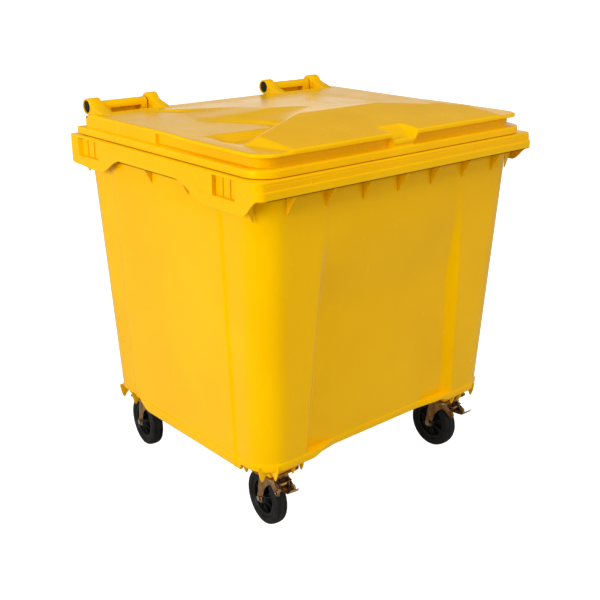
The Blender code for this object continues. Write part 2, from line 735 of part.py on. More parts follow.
def make_plate():
    """Mounting plate with the upper race pressed down in its middle."""
    low = CASTOR_HEIGHT - PLATE_THICKNESS
    hx, hy, corner = PLATE_HALF_X, PLATE_HALF_Y, 0.012
    outline = [
        (-hx + corner, -hy), (hx - corner, -hy), (hx, -hy + corner), (hx, hy - corner),
        (hx - corner, hy), (-hx + corner, hy), (-hx, hy - corner), (-hx, -hy + corner),
    ]
    plate = prism(outline, "Z", low, CASTOR_HEIGHT)
    race = [
        (0.0, low + 0.002), (0.036, low + 0.002), (0.036, low - 0.003), (0.033, low - 0.0085),
        (0.0, low - 0.0085),
    ]
    unite(plate, [lathe("race", race, "Z", 14)])
    holes = [rod(BOLT_HOLE_RADIUS, "Z", 0.2, 0.3, 8, place) for place in bolt_places(0, 0)]
    cut(plate, holes + [rod(KINGPIN_RADIUS + 0.0006, "Z", 0.2, 0.3, 10)])
    plate.data.materials.append(MAT["plated_steel"])
    return plate


def make_kingpin():
    shank = rod(KINGPIN_RADIUS, "Z", 0.2030, CASTOR_HEIGHT - 0.0005, 10)
    unite(shank, [prism(hexagon(0.0095), "Z", 0.1965, 0.2043)])
    shank.data.materials.append(MAT["plated_steel"])
    return shank


def fork_leg_outline():
    """Side view of a leg: broad at the crown, round at the axle."""
    eye = 0.0165
    arc = []
    for i in range(7):
        angle = math.radians(30 - 40 * i)
        arc.append((TRAIL + eye * math.cos(angle), WHEEL_RADIUS + eye * math.sin(angle)))
    return [
        (-0.034, FORK_CROWN_TOP_Z - 0.002), (-0.034, FORK_CROWN_LOW_Z - 0.012),
        (-0.012, 0.168), (0.024, 0.118), *arc[::-1], (0.052, 0.150), (0.040, 0.190),
        (0.036, FORK_CROWN_TOP_Z - 0.002),
    ]


def make_fork(braked):
    """Pressed fork: crown, round lower race and two legs."""
    outer = FORK_INNER_X + FORK_SHEET
    fork = box((-outer, outer), (-0.034, 0.036), (FORK_CROWN_LOW_Z, FORK_CROWN_TOP_Z - 0.004))
    legs = []
    for side in (-1, 1):
        span = sorted((side * FORK_INNER_X, side * outer))
        legs.append(prism(fork_leg_outline(), "X", *span))
    unite(fork, legs + [rod(0.038, "Z", FORK_CROWN_LOW_Z, FORK_CROWN_TOP_Z, 14)])
    if braked:
        cheek = [
            (-0.030, 0.2135), (-0.030, 0.2055), (-0.036, 0.1860), (-0.060, 0.1860),
            (-0.064, 0.1960), (-0.060, 0.2070), (-0.046, 0.2135),
        ]
        spans = [sorted((s * BRAKE_CHEEK_X, s * (BRAKE_CHEEK_X + 0.003))) for s in (-1, 1)]
        unite(fork, [prism(cheek, "X", *span) for span in spans])
        shoe_eye = [(-0.036, 0.2065), (-0.036, 0.1885), (-0.022, 0.1885), (-0.022, 0.2065)]
        unite(fork, [prism(shoe_eye, "X", *span) for span in spans])
        pin_hole = rod(BRAKE_PIN_RADIUS + 0.0005, "X", -0.03, 0.03, 8, BRAKE_PIVOT)
        cut(fork, [pin_hole])
    axle_hole = rod(AXLE_RADIUS + 0.0005, "X", -0.05, 0.05, 10, (TRAIL, WHEEL_RADIUS))
    cut(fork, [rod(KINGPIN_RADIUS + 0.0008, "Z", 0.19, 0.23, 10), axle_hole])
    fork.data.materials.append(MAT["plated_steel"])
    return fork


def make_axle_bolt():
    """Bolt through both legs, its head on the -X side."""
    face = FORK_INNER_X + FORK_SHEET + GAP
    bolt = rod(AXLE_RADIUS, "X", -face - 0.001, 0.0435, 10, (TRAIL, WHEEL_RADIUS))
    unite(bolt, [prism(hexagon(0.0105, (TRAIL, WHEEL_RADIUS)), "X", -face - 0.0065, -face)])
    bolt.data.materials.append(MAT["zinc"])
    return bolt


def make_axle_nut():
    face = FORK_INNER_X + FORK_SHEET + GAP
    nut = prism(hexagon(0.0105, (TRAIL, WHEEL_RADIUS)), "X", face, face + 0.0075)
    cut(nut, [rod(AXLE_RADIUS + 0.0005, "X", 0.02, 0.06, 10, (TRAIL, WHEEL_RADIUS))])
    nut.data.materials.append(MAT["zinc"])
    return nut


def make_bush():
    """Spacer tube that the wheel turns on, clamped between the legs."""
    half = FORK_INNER_X - GAP
    inner = AXLE_RADIUS + 0.0005
    profile = [(inner, -half), (BUSH_RADIUS, -half), (BUSH_RADIUS, half), (inner, half)]
    return lathe("bush", profile, "X", 10, MAT["zinc"])


def make_wheel_rim():
    """Moulded wheel centre: hub, dished web and rim, round its own axle."""
    bore = BUSH_RADIUS + 0.0006
    profile = [
        (bore, -0.026), (0.021, -0.026), (0.026, -0.008), (0.061, -0.007),
        (0.064, -0.019), (RIM_OUTER_RADIUS, -0.019), (RIM_OUTER_RADIUS, 0.019),
        (0.064, 0.019), (0.061, 0.007), (0.026, 0.008), (0.021, 0.026), (bore, 0.026),
    ]
    return lathe("wheel_rim", profile, "X", WHEEL_SEGMENTS, MAT["black_plastic"])


def make_tyre():
    half = WHEEL_WIDTH / 2
    profile = [
        (TYRE_INNER_RADIUS, -0.0205), (0.088, -half), (0.0965, -half + 0.005),
        (WHEEL_RADIUS, -half + 0.014), (WHEEL_RADIUS, half - 0.014),
        (0.0965, half - 0.005), (0.088, half), (TYRE_INNER_RADIUS, 0.0205),
    ]
    return lathe("tyre", profile, "X", WHEEL_SEGMENTS, MAT["rubber"])


def make_brake_pin():
    reach = BRAKE_CHEEK_X + 0.003 + GAP
    pin = rod(BRAKE_PIN_RADIUS, "X", -reach - 0.002, reach + 0.002, 8)
    heads = []
    for side in (-1, 1):
        span = sorted((side * reach, side * (reach + 0.003)))
        heads.append(rod(0.0065, "X", *span, 8))
    unite(pin, heads)
    pin.data.materials.append(MAT["zinc"])
    return pin


def make_pedal():
    """Foot pedal, modelled round its pivot: eye, arm and upturned tip."""
    tip_y = PEDAL_TIP[0] - BRAKE_PIVOT[0]
    tip_z = PEDAL_TIP[1] - BRAKE_PIVOT[1]
    eye = 0.0085
    arc = []
    for i in range(7):
        angle = math.radians(-150 + 40 * i)
        arc.append((eye * math.cos(angle), eye * math.sin(angle)))
    arm = [(-0.022, 0.0085), (-0.052, -0.0065), (tip_y - 0.001, tip_z)]
    arm += [(tip_y, tip_z - 0.0030), (-0.052, -0.0110), (-0.024, 0.0035)]
    width = BRAKE_CHEEK_X - 0.0005
    pedal = prism(arc + arm, "X", -width, width)
    cut(pedal, [rod(BRAKE_PIN_RADIUS + 0.0005, "X", -0.03, 0.03, 8)])
    pedal.data.materials.append(MAT["plated_steel"])
    return pedal


def make_shoe():
    """Brake shoe hanging in front of the tyre, modelled round its pivot."""
    outline = [
        (-0.004, -0.003), (-0.0065, -0.017), (-0.0100, -0.034), (-0.0060, -0.034),
        (-0.002, -0.018), (0.004, -0.004), (0.004, 0.004), (-0.004, 0.004),
    ]
    width = BRAKE_CHEEK_X - 0.0005
    shoe = prism(outline, "X", -width, width)
    shoe.data.materials.append(MAT["plated_steel"])
    return shoe


def make_bolt():
    """Hex-headed mounting bolt, head down."""
    head_top = CASTOR_HEIGHT - PLATE_THICKNESS - GAP
    bolt = rod(BOLT_RADIUS, "Z", head_top - 0.001, BOLT_TOP_Z, 6)
    unite(bolt, [prism(hexagon(0.0098), "Z", head_top - 0.0064, head_top)])
    bolt.data.materials.append(MAT["zinc"])
    return bolt


def move_origin(obj, y, z):
    """Put the object's origin at (0, y, z) of the castor's frame."""
    obj.data.transform(Matrix.Translation((0.0, -y, -z)))


def make_castors():
    plate, kingpin, bolt = make_plate(), make_kingpin(), make_bolt()
    plain_fork, braked_fork = make_fork(False), make_fork(True)
    axle_bolt, axle_nut = make_axle_bolt(), make_axle_nut()
    for obj in (axle_bolt, axle_nut):
        move_origin(obj, TRAIL, WHEEL_RADIUS)
    wheel_parts = (axle_bolt, axle_nut, make_bush(), make_wheel_rim(), make_tyre())
    wheel_names = ("axle_bolt", "axle_nut", "axle_bush", "wheel_rim", "tyre")
    pedal, shoe, brake_pin = make_pedal(), make_shoe(), make_brake_pin()
    brake_parts = (
        (pedal, "brake_pedal", BRAKE_PIVOT), (brake_pin, "brake_pin", BRAKE_PIVOT),
        (shoe, "brake_shoe", SHOE_PIVOT),
    )
    for name, x, y, angle, braked in CASTORS:
        fixed = bpy.data.objects.new(f"castor_mount_{name}", None)
        fixed.location = (x, y, 0.0)
        bpy.context.scene.collection.objects.link(fixed)
        for source, label in ((plate, "castor_plate"), (kingpin, "kingpin")):
            copy_object(f"{label}_{name}", source).parent = fixed
        for index, place in enumerate(bolt_places(0, 0), start=1):
            copy = copy_object(f"mounting_bolt_{name}_{index}", bolt)
            copy.parent = fixed
            copy.location = (*place, 0.0)
        swivel = bpy.data.objects.new(f"swivel_{name}", None)
        swivel.location = (x, y, 0.0)
        swivel.rotation_euler = (0.0, 0.0, -angle)
        bpy.context.scene.collection.objects.link(swivel)
        copy_object(f"fork_{name}", braked_fork if braked else plain_fork).parent = swivel
        for source, label in zip(wheel_parts, wheel_names):
            copy = copy_object(f"{label}_{name}", source)
            copy.parent = swivel
            copy.location = (0.0, TRAIL, WHEEL_RADIUS)
        for source, label, pivot in brake_parts if braked else ():
            copy = copy_object(f"{label}_{name}", source)
            copy.parent = swivel
            copy.location = (0.0, *pivot)
    patterns = [plate, kingpin, bolt, plain_fork, braked_fork, pedal, shoe, brake_pin]
    for source in patterns + list(wheel_parts):
        bpy.data.objects.remove(source, do_unlink=True)


def make_drain_plug():
    """Quarter-turn plug in the floor, turned from below by its cross bar."""
    under = FLOOR_UNDER_Z - GAP
    stem = DRAIN_RADIUS - 0.0010
    profile = [
        (0.0, under - 0.006), (0.034, under - 0.006), (0.036, under - 0.004), (0.036, under),
        (stem, under), (stem, FLOOR_TOP_Z + 0.003), (0.0, FLOOR_TOP_Z + 0.003),
    ]
    plug = lathe("drain_plug", profile, "Z", 16, MAT["black_plastic"])
    unite(plug, [box((-0.026, 0.026), (-0.004, 0.004), (under - 0.020, under - 0.005))])
    plug.location = (0.0, DRAIN_Y, 0.0)


clear_scene()
MAT = {
    "moulding": material("yellow_moulding", (0.90, 0.60, 0.0), 0.25),
    "black_plastic": material("black_plastic", (0.012, 0.012, 0.013), 0.45),
    "rubber": material("black_rubber", (0.018, 0.018, 0.019), 0.65),
    "plated_steel": material("yellow_plated_steel", (0.42, 0.24, 0.08), 0.30, 1.0),
    "zinc": material("zinc_plated_steel", (0.55, 0.50, 0.42), 0.35, 1.0),
}
make_body()
make_lid()
make_hinge_pins()
make_castors()
make_drain_plug()
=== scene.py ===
"""Looks of a large four-wheeled waste bin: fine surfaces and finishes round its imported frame.

Metres, +Z up.  The front faces -Y, the lid hinge is at the back and the origin is on the
ground under the middle of the bin.
"""

import json
import math

import bmesh
import bpy
import numpy as np
from mathutils import Matrix, Vector


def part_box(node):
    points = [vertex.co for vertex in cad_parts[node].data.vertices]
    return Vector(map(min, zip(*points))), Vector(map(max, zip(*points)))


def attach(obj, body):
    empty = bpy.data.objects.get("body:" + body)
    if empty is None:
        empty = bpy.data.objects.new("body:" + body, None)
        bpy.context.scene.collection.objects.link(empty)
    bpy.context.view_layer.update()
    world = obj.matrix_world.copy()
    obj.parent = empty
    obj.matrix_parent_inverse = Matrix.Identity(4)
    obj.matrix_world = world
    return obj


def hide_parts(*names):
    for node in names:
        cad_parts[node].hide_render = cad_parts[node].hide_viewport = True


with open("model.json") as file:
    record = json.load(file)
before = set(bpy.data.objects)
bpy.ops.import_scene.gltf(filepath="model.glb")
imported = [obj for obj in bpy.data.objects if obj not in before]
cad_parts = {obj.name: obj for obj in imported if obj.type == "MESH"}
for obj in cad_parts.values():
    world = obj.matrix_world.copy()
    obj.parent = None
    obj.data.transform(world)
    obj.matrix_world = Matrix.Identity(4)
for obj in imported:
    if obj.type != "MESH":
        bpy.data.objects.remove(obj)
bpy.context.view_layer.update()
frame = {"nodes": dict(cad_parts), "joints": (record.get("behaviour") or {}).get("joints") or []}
JOINTS = {joint["name"]: joint for joint in frame["joints"]}

# ---- driving dimensions, from the frame where it holds them ----------------
BODY_LOW, BODY_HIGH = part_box("bin_body")
RIM_HALF = BODY_HIGH.x
RIM_FRONT = BODY_LOW.y
RIM_BACK = 0.522
RIM_TOP = 1.275
RIM_STEP = 1.2475
RIM_LOW = 1.2205
RIM_STEP_IN = 0.008
RIM_CORNER = 0.028
RIM_REAR_CORNER = 0.012
SHELL = 0.005

WALL_HALF = 0.598            # at the underside of the rim
WALL_FRONT = -0.513
WALL_BACK = 0.507
WALL_DRAFT = 0.0448
WALL_CORNER = 0.10
WALL_FOOT = 0.280
UNDER_RIM = 1.263
LIP_TOP = 0.305
LIP_OUT = 0.002
LIP_INNER = 0.013            # from the lip's face to its inside
FLOOR_TOP = 0.300
FLOOR_UNDER = 0.294
FLOOR_FILLET = 0.035

PANEL_X = -0.012             # middle of the set-back front panel
PANEL_HALF_TOP = 0.320
PANEL_HALF_FOOT = 0.368
PANEL_SLOPE = 0.028
PANEL_DEPTH = 0.028
LIP_MIDDLE = (PANEL_X - 0.290, PANEL_X + 0.290)
LIP_SLOPE = 0.075
SIDE_PANEL = (-0.330, 0.304)
SIDE_PANEL_OUT = 0.008

LOBE_LOW = 1.166
POCKETS = ((-0.442, -0.334), (0.334, 0.462))
POCKET_Z = (1.206, 1.268)
POCKET_DEPTH = 0.015
RIB_PITCH = 0.1581
RIB_MIDDLE_X = -0.018
RIB_COUNT = 7

HINGE_Y, HINGE_Z = JOINTS["lid_hinge"]["pos_m"][1:]
KNUCKLE_RADIUS = 0.029
HINGE_OUTER_X = 0.5545
HINGE_WIDTHS = (0.050, 0.190, 0.042)
HINGE_GAP = 0.005

LID_FLANGE_HALF = 0.613
LID_FLANGE_FRONT = -0.535
LID_FLANGE_BACK = 0.502
LID_FLANGE_Z = (1.2772, 1.301)
LID_HALF = 0.588
LID_FRONT = -0.526
LID_BACK = 0.483
LID_CORNER = 0.070
LID_REAR_CORNER = 0.008
LID_EDGE = 1.345
LID_CREST_Y = -0.205
LID_CREST_Z = 1.385
BRIM_OUT = 0.014
BRIM_LOW = 1.334
BRIM_FILLET = 0.0075
NOTCH = (-0.070, 0.050)      # x of the finger notch in the front brim
NOTCH_DROP = 0.023
NOTCH_IN = 0.019
RECESS_Y = 0.028             # the side wall is set back under the brim in front of here
GRIP_SPAN = (RECESS_Y - 0.062, RECESS_Y + 0.010)
RECESS_IN = (0.011, 0.022)   # how far it is set back, at the sides and in front

# A castor's own frame has its swivel axis at x = y = 0 and its wheel trailing along +Y.
TRAIL = 0.052
WHEEL_RADIUS = 0.100
LEG_X = (0.029, 0.0325)
CROWN_Z = (0.2055, 0.219)
BRAKE_PIVOT = (-0.050, 0.196)
SHOE_PIVOT = (-0.029, 0.1925)
CHEEK_BOSS = (0.0, -0.0640, 0.1790)
BOSS_HALF = (0.0600, 0.0480)
BOLT_PLACE = (0.0525, 0.040)
SPOKES = 8

# Light: glossy rays see bands of the room by height, other rays see an even glow.
ROOM_GLOW = 0.50
ROOM_BANDS = ((0.0, 1.0), (0.08, 1.0), (0.16, 0.80), (0.20, 0.34), (0.26, 0.05), (1.0, 0.05))
FLOOR_HALF = 90.0
FLOOR_SEEN = 1.00            # the floor's own glow for the camera, and for the bin
FLOOR_BOUNCE = 0.0
LIGHTS = {                   # place, target, size and power
    "key_light": ((-6.0, -0.6, 2.2), (0.0, 0.0, 0.8), (3.0, 3.0), 235.0),
    "front_light": ((1.8, -5.2, 2.8), (0.1, 0.0, 0.9), (3.0, 2.0), 50.0),
    "top_light": ((-0.5, -2.4, 5.6), (0.0, 0.0, 0.9), (3.0, 3.0), 110.0),
}
CAMERA_PLACE = (-2.2572, -2.5933, 1.8815)
CAMERA_AZIMUTH = math.radians(-41.0824)
CAMERA_ELEVATION = math.radians(19.955)
CAMERA_LENS = 57.455
CAMERA_SENSOR = 36.0

SIDES = ((-1, "left"), (1, "right"))
CASTORS = {
    name: (Vector(JOINTS[f"swivel_{name}_turn"]["pos_m"]), name.startswith("front"))
    for name in ("front_left", "front_right", "rear_left", "rear_right")
}


# ---------------------------------------------------------------------------
# rounded steps and corners
# ---------------------------------------------------------------------------
def soft_positive(t, fillet):
    """t where it is positive, 0 where it isn't, with a rounded corner between."""
    t = np.asarray(t, float)
    bend = (t + fillet) ** 2 / (4.0 * fillet)
    return np.where(t < -fillet, 0.0, np.where(t > fillet, t, bend))


def soft_ramp(t, fillet=0.2):
    """0 before 0, 1 after 1, straight between, with rounded corners."""
    return soft_positive(t, fillet) - soft_positive(np.asarray(t, float) - 1.0, fillet)


def band(t, start, end, slope, fillet=0.2):
    """1 between start and end, falling to 0 over a slope inside each end."""
    return soft_ramp((t - start) / slope, fillet) - soft_ramp((t - end + slope) / slope, fillet)


def soft_max(a, b, fillet):
    return b + soft_positive(a - b, fillet)


def soft_min(a, b, fillet):
    return b - soft_positive(b - a, fillet)


def smooth(low, high, t):
    t = np.clip((np.asarray(t, float) - low) / (high - low), 0.0, 1.0)
    return t * t * (3.0 - 2.0 * t)


def spread(knots, counts):
    """Positions from knot to knot, with so many steps in each gap, without the last knot."""
    gaps = zip(knots, knots[1:], counts)
    return np.concatenate([np.linspace(a, b, n, endpoint=False) for a, b, n in gaps])


# ---------------------------------------------------------------------------
# meshes
# ---------------------------------------------------------------------------
def finish_mesh(name, verts, faces, material, sharp=38):
    mesh = bpy.data.meshes.new(name)
    mesh.from_pydata([tuple(v) for v in verts], [], faces)
    mesh.validate()
    bm = bmesh.new()
    bm.from_mesh(mesh)
    if bm.calc_volume(signed=True) < 0.0:
        bmesh.ops.reverse_faces(bm, faces=bm.faces)
    bm.to_mesh(mesh)
    bm.free()
    mesh.materials.append(material)
    mesh.shade_smooth()
    mesh.set_sharp_from_angle(angle=math.radians(sharp))
    obj = bpy.data.objects.new(name, mesh)
    bpy.context.scene.collection.objects.link(obj)
    return obj


def bridge(level, next_level, count):
    """Quads between two closed rings of count points each."""
    low, high = level * count, next_level * count
    here = np.arange(count)
    after = (here + 1) % count
    return np.stack([low + here, low + after, high + after, high + here], 1).tolist()


def skin(name, rings, material, sharp=38):
    """Skin a stack of equal closed rings and cap both ends."""
    rings = np.asarray(rings)
    levels, count, _ = rings.shape
    faces = []
    for level in range(levels - 1):
        faces += bridge(level, level + 1, count)
    faces.append(list(range(count))[::-1])
    faces.append(list(range((levels - 1) * count, levels * count)))
    return finish_mesh(name, rings.reshape(-1, 3), faces, material, sharp)


def lathe(name, profile, material, steps=72, sharp=35):
    """Turn a closed profile of (radius, position) round the X axis."""
    profile = np.asarray(profile, float)
    turn = np.linspace(0.0, math.tau, steps, endpoint=False)
    radius, place = profile[:, 0], profile[:, 1]
    ring = np.stack([
        np.broadcast_to(place, (steps, len(place))),
        np.outer(np.cos(turn), radius),
        np.outer(np.sin(turn), radius),
    ], 2)
    faces = []
    for step in range(steps):
        faces += bridge(step, (step + 1) % steps, len(place))
    obj = finish_mesh(name, ring.reshape(-1, 3), faces, material, sharp)
    bm = bmesh.new()
    bm.from_mesh(obj.data)
    bmesh.ops.remove_doubles(bm, verts=bm.verts, dist=1e-7)
    bmesh.ops.dissolve_degenerate(bm, edges=bm.edges, dist=1e-8)
    bm.to_mesh(obj.data)
    bm.free()
    return obj


def prism(name, outline, along, low, high, material, edge=0.0, steps=3):
    """Extrude a closed outline along an axis, with rounded edges."""
    place = {
        "X": lambda a, b, c: (c, a, b),
        "Y": lambda a, b, c: (a, c, b),
        "Z": lambda a, b, c: (a, b, c),
    }[along]
    count = len(outline)
    verts = [place(a, b, low) for a, b in outline] + [place(a, b, high) for a, b in outline]
    faces = [[i, (i + 1) % count, (i + 1) % count + count, i + count] for i in range(count)]
    faces += [list(range(count))[::-1], list(range(count, 2 * count))]
    obj = finish_mesh(name, verts, faces, material, 30)
    if edge:
        round_edges(obj, edge, steps)
    return obj


def add_bevel(obj, width, steps, angle):
    bevel = obj.modifiers.new("rounded_edges", "BEVEL")
    bevel.width = width
    bevel.segments = steps
    bevel.limit_method = "ANGLE"
    bevel.angle_limit = math.radians(angle)


def round_edges(obj, width, steps=3, angle=28):
    add_bevel(obj, width, steps, angle)
    apply_modifiers(obj)
    obj.data.shade_smooth()
    obj.data.set_sharp_from_angle(angle=math.radians(38))


def apply_modifiers(obj):
    depsgraph = bpy.context.evaluated_depsgraph_get()
    result = bpy.data.meshes.new_from_object(obj.evaluated_get(depsgraph))
    obj.modifiers.clear()
    obj.data = result


def join(name, parts):
    """One object holding the meshes of several."""
    bm = bmesh.new()
    for part in parts:
        part.data.transform(part.matrix_basis)
        bm.from_mesh(part.data)
    mesh = parts[0].data
    bm.to_mesh(mesh)
    bm.free()
    obj = bpy.data.objects.new(name, mesh)
    bpy.context.scene.collection.objects.link(obj)
    for part in parts:
        bpy.data.objects.remove(part, do_unlink=True)
    mesh.name = name
    return obj


def subtract(target, tool):
    modifier = target.modifiers.new("cut", "BOOLEAN")
    modifier.operation = "DIFFERENCE"
    modifier.solver = "EXACT"
    modifier.object = tool
    apply_modifiers(target)
    bpy.data.objects.remove(tool, do_unlink=True)


def drill(target, along, low, high, radius, steps, centre=(0.0, 0.0)):
    outline = circle(radius, steps, centre)
    subtract(target, prism("hole", outline, along, low, high, target.data.materials[0]))


def sweep(name, points, radii, material, segments=12):
    """A round bead along a path of points, with its own radius at each point."""
    points = np.asarray(points, float)
    along = np.gradient(points, axis=0)
    along /= np.linalg.norm(along, axis=1)[:, None]
    side = np.cross(along, (1.0, 0.0, 0.0))
    side /= np.linalg.norm(side, axis=1)[:, None]
    up = np.cross(along, side)
    turn = np.linspace(0.0, math.tau, segments, endpoint=False)
    rings = [
        centre + radius * (np.outer(np.cos(turn), a) + np.outer(np.sin(turn), b))
        for centre, a, b, radius in zip(points, side, up, radii)
    ]
    return skin(name, rings, material)


def circle(radius, steps, centre=(0.0, 0.0)):
    turn = [math.tau * i / steps for i in range(steps)]
    return [(centre[0] + radius * math.cos(t), centre[1] + radius * math.sin(t)) for t in turn]


def arc(radius, start, end, steps, centre=(0.0, 0.0)):
    turn = np.radians(np.linspace(start, end, steps + 1))
    return [(centre[0] + radius * math.cos(t), centre[1] + radius * math.sin(t)) for t in turn]


def rectangle(low, high, bottom, top):
    return [(low, bottom), (high, bottom), (high, top), (low, top)]


def both_ends(side):
    """Close a turned profile with the mirror image of its outer half."""
    return side + [(radius, -place) for radius, place in reversed(side)]


def side_span(sign, near, far):
    """The stretch from near to far on one side of the middle, lowest end first."""
    return sorted((sign * near, sign * far))


def quarter_turn(steps):
    """Angles from 0 to a right angle, both included."""
    return np.radians(np.linspace(0.0, 90.0, steps + 1))


# ---------------------------------------------------------------------------
# finishes
# ---------------------------------------------------------------------------
class Nodes:
    """A small helper to wire a procedural material."""

    def __init__(self, name):
        self.material = bpy.data.materials.new(name)
        self.material.use_nodes = True
        self.tree = self.material.node_tree
        self.shader = self.tree.nodes["Principled BSDF"]
        self.place = self.new("ShaderNodeTexCoord").outputs["Object"]

    def new(self, kind, **settings):
        node = self.tree.nodes.new(kind)
        for key, value in settings.items():
            setattr(node, key, value)
        return node

    def link(self, source, target):
        self.tree.links.new(source, target)

    def noise(self, scale, detail=3.0, stretch=None):
        node = self.new("ShaderNodeTexNoise")
        node.inputs["Scale"].default_value = scale
        node.inputs["Detail"].default_value = detail
        place = self.place
        if stretch:
            mapping = self.new("ShaderNodeMapping")
            mapping.inputs["Scale"].default_value = stretch
            self.link(place, mapping.inputs["Vector"])
            place = mapping.outputs["Vector"]
        self.link(place, node.inputs["Vector"])
        return node.outputs["Fac"]

    def remap(self, value, low, high, to_low, to_high):
        node = self.new("ShaderNodeMapRange")
        for index, number in enumerate((low, high, to_low, to_high), start=1):
            node.inputs[index].default_value = number
        self.link(value, node.inputs[0])
        return node.outputs["Result"]

    def mix(self, factor, first, second):
        node = self.new("ShaderNodeMix", data_type="RGBA")
        for index, colour in ((6, first), (7, second)):
            if isinstance(colour, tuple):
                node.inputs[index].default_value = (*colour, 1.0)
            else:
                self.link(colour, node.inputs[index])
        self.link(factor, node.inputs[0])
        return node.outputs[2]

    def bump(self, heights):
        """Chain of (height, strength, distance) bumps into the shader's normal."""
        previous = None
        for height, strength, distance in heights:
            node = self.new("ShaderNodeBump")
            node.inputs["Strength"].default_value = strength
            node.inputs["Distance"].default_value = distance
            self.link(height, node.inputs["Height"])
            if previous is not None:
                self.link(previous, node.inputs["Normal"])
            previous = node.outputs["Normal"]
        self.link(previous, self.shader.inputs["Normal"])

    def clouded(self, value, low, high, first, second):
        """From the first colour to the second as a noise value goes from low to high."""
        return self.mix(self.remap(value, low, high, 0.0, 1.0), first, second)

    def set(self, **values):
        """Give the shader's inputs plain values or other nodes' outputs."""
        for key, value in values.items():
            socket = self.shader.inputs[key.replace("_", " ")]
            if isinstance(value, bpy.types.NodeSocket):
                self.link(value, socket)
            else:
                socket.default_value = value


def moulded_polythene():
    """Glossy yellow polythene: faint flow marks, orange peel and fine handling scuffs."""
    n = Nodes("yellow_polythene")
    clouds = n.noise(3.5, 4.0)
    flow = n.noise(9.0, 3.0, (1.0, 1.0, 0.25))
    scuff = n.noise(45.0, 6.0, (1.0, 1.0, 0.5))
    colour = n.clouded(clouds, 0.35, 0.65, (0.90, 0.475, 0.0), (0.94, 0.510, 0.0))
    colour = n.mix(n.remap(scuff, 0.68, 0.85, 0.0, 0.25), colour, (0.93, 0.54, 0.0))
    rough = n.new("ShaderNodeMath", operation="ADD")
    n.link(n.remap(flow, 0.3, 0.7, 0.20, 0.27), rough.inputs[0])
    n.link(n.remap(scuff, 0.62, 0.90, 0.0, 0.10), rough.inputs[1])
    n.bump(((n.noise(420.0, 2.0), 0.05, 0.0004), (clouds, 0.10, 0.002), (scuff, 0.04, 0.0004)))
    # gloss takes the moulding's colour face on and turns white at grazing angles
    facing = n.new("ShaderNodeLayerWeight").outputs["Facing"]
    tint = n.clouded(facing, 0.55, 0.82, (1.0, 0.66, 0.0), (1.0, 0.97, 0.90))
    n.set(Base_Color=colour, Roughness=rough.outputs[0], Specular_Tint=tint, IOR=1.46)
    return n.material


def black_plastic():
    """Black moulded plastic with a fine spark-eroded grain."""
    n = Nodes("black_plastic")
    dust = n.noise(22.0, 5.0)
    colour = n.clouded(dust, 0.45, 0.75, (0.004, 0.004, 0.0045), (0.013, 0.0125, 0.012))
    n.set(Base_Color=colour, Roughness=n.remap(dust, 0.3, 0.7, 0.32, 0.52), Specular_IOR_Level=0.30)
    n.bump(((n.noise(900.0, 2.0), 0.25, 0.0003),))
    return n.material


def tyre_rubber():
    """Dark rubber, greyer and rougher where it has picked up dust."""
    n = Nodes("tyre_rubber")
    dust = n.noise(30.0, 6.0)
    colour = n.clouded(dust, 0.42, 0.72, (0.006, 0.006, 0.0065), (0.018, 0.0165, 0.015))
    n.set(Base_Color=colour, Roughness=n.remap(dust, 0.3, 0.7, 0.45, 0.70), Specular_IOR_Level=0.22)
    n.bump(((n.noise(1100.0, 3.0), 0.35, 0.0003), (dust, 0.2, 0.0006)))
    return n.material


def chromated_steel():
    """Yellow-chromate plated steel: bronze with copper and straw clouds."""
    n = Nodes("yellow_chromated_steel")
    clouds = n.noise(26.0, 4.0)
    grain = n.noise(160.0, 4.0, (1.0, 1.0, 0.15))
    colour = n.clouded(clouds, 0.36, 0.60, (0.30, 0.145, 0.045), (0.52, 0.31, 0.12))
    colour = n.mix(n.remap(grain, 0.62, 0.78, 0.0, 0.6), colour, (0.20, 0.10, 0.06))
    n.set(Base_Color=colour, Roughness=n.remap(clouds, 0.3, 0.7, 0.24, 0.42), Metallic=1.0)
    n.bump(((grain, 0.12, 0.0004),))
    return n.material


def zinc_plate():
    """Bright zinc-plated fasteners with a slight straw tint."""
    n = Nodes("zinc_plated_steel")
    clouds = n.noise(120.0, 4.0)
    colour = n.clouded(clouds, 0.35, 0.65, (0.46, 0.40, 0.30), (0.72, 0.66, 0.54))
    n.set(Base_Color=colour, Roughness=n.remap(clouds, 0.3, 0.7, 0.20, 0.38), Metallic=1.0)
    n.bump(((n.noise(700.0, 2.0), 0.10, 0.0002),))
    return n.material


YELLOW = moulded_polythene()
BLACK = black_plastic()
RUBBER = tyre_rubber()
BRONZE = chromated_steel()
ZINC = zinc_plate()


def ride(obj, body, *replaced):
    """Put a finished piece on its body, in place of the CAD nodes it stands for."""
    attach(obj, body)
    if replaced:
        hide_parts(*replaced)
    return obj


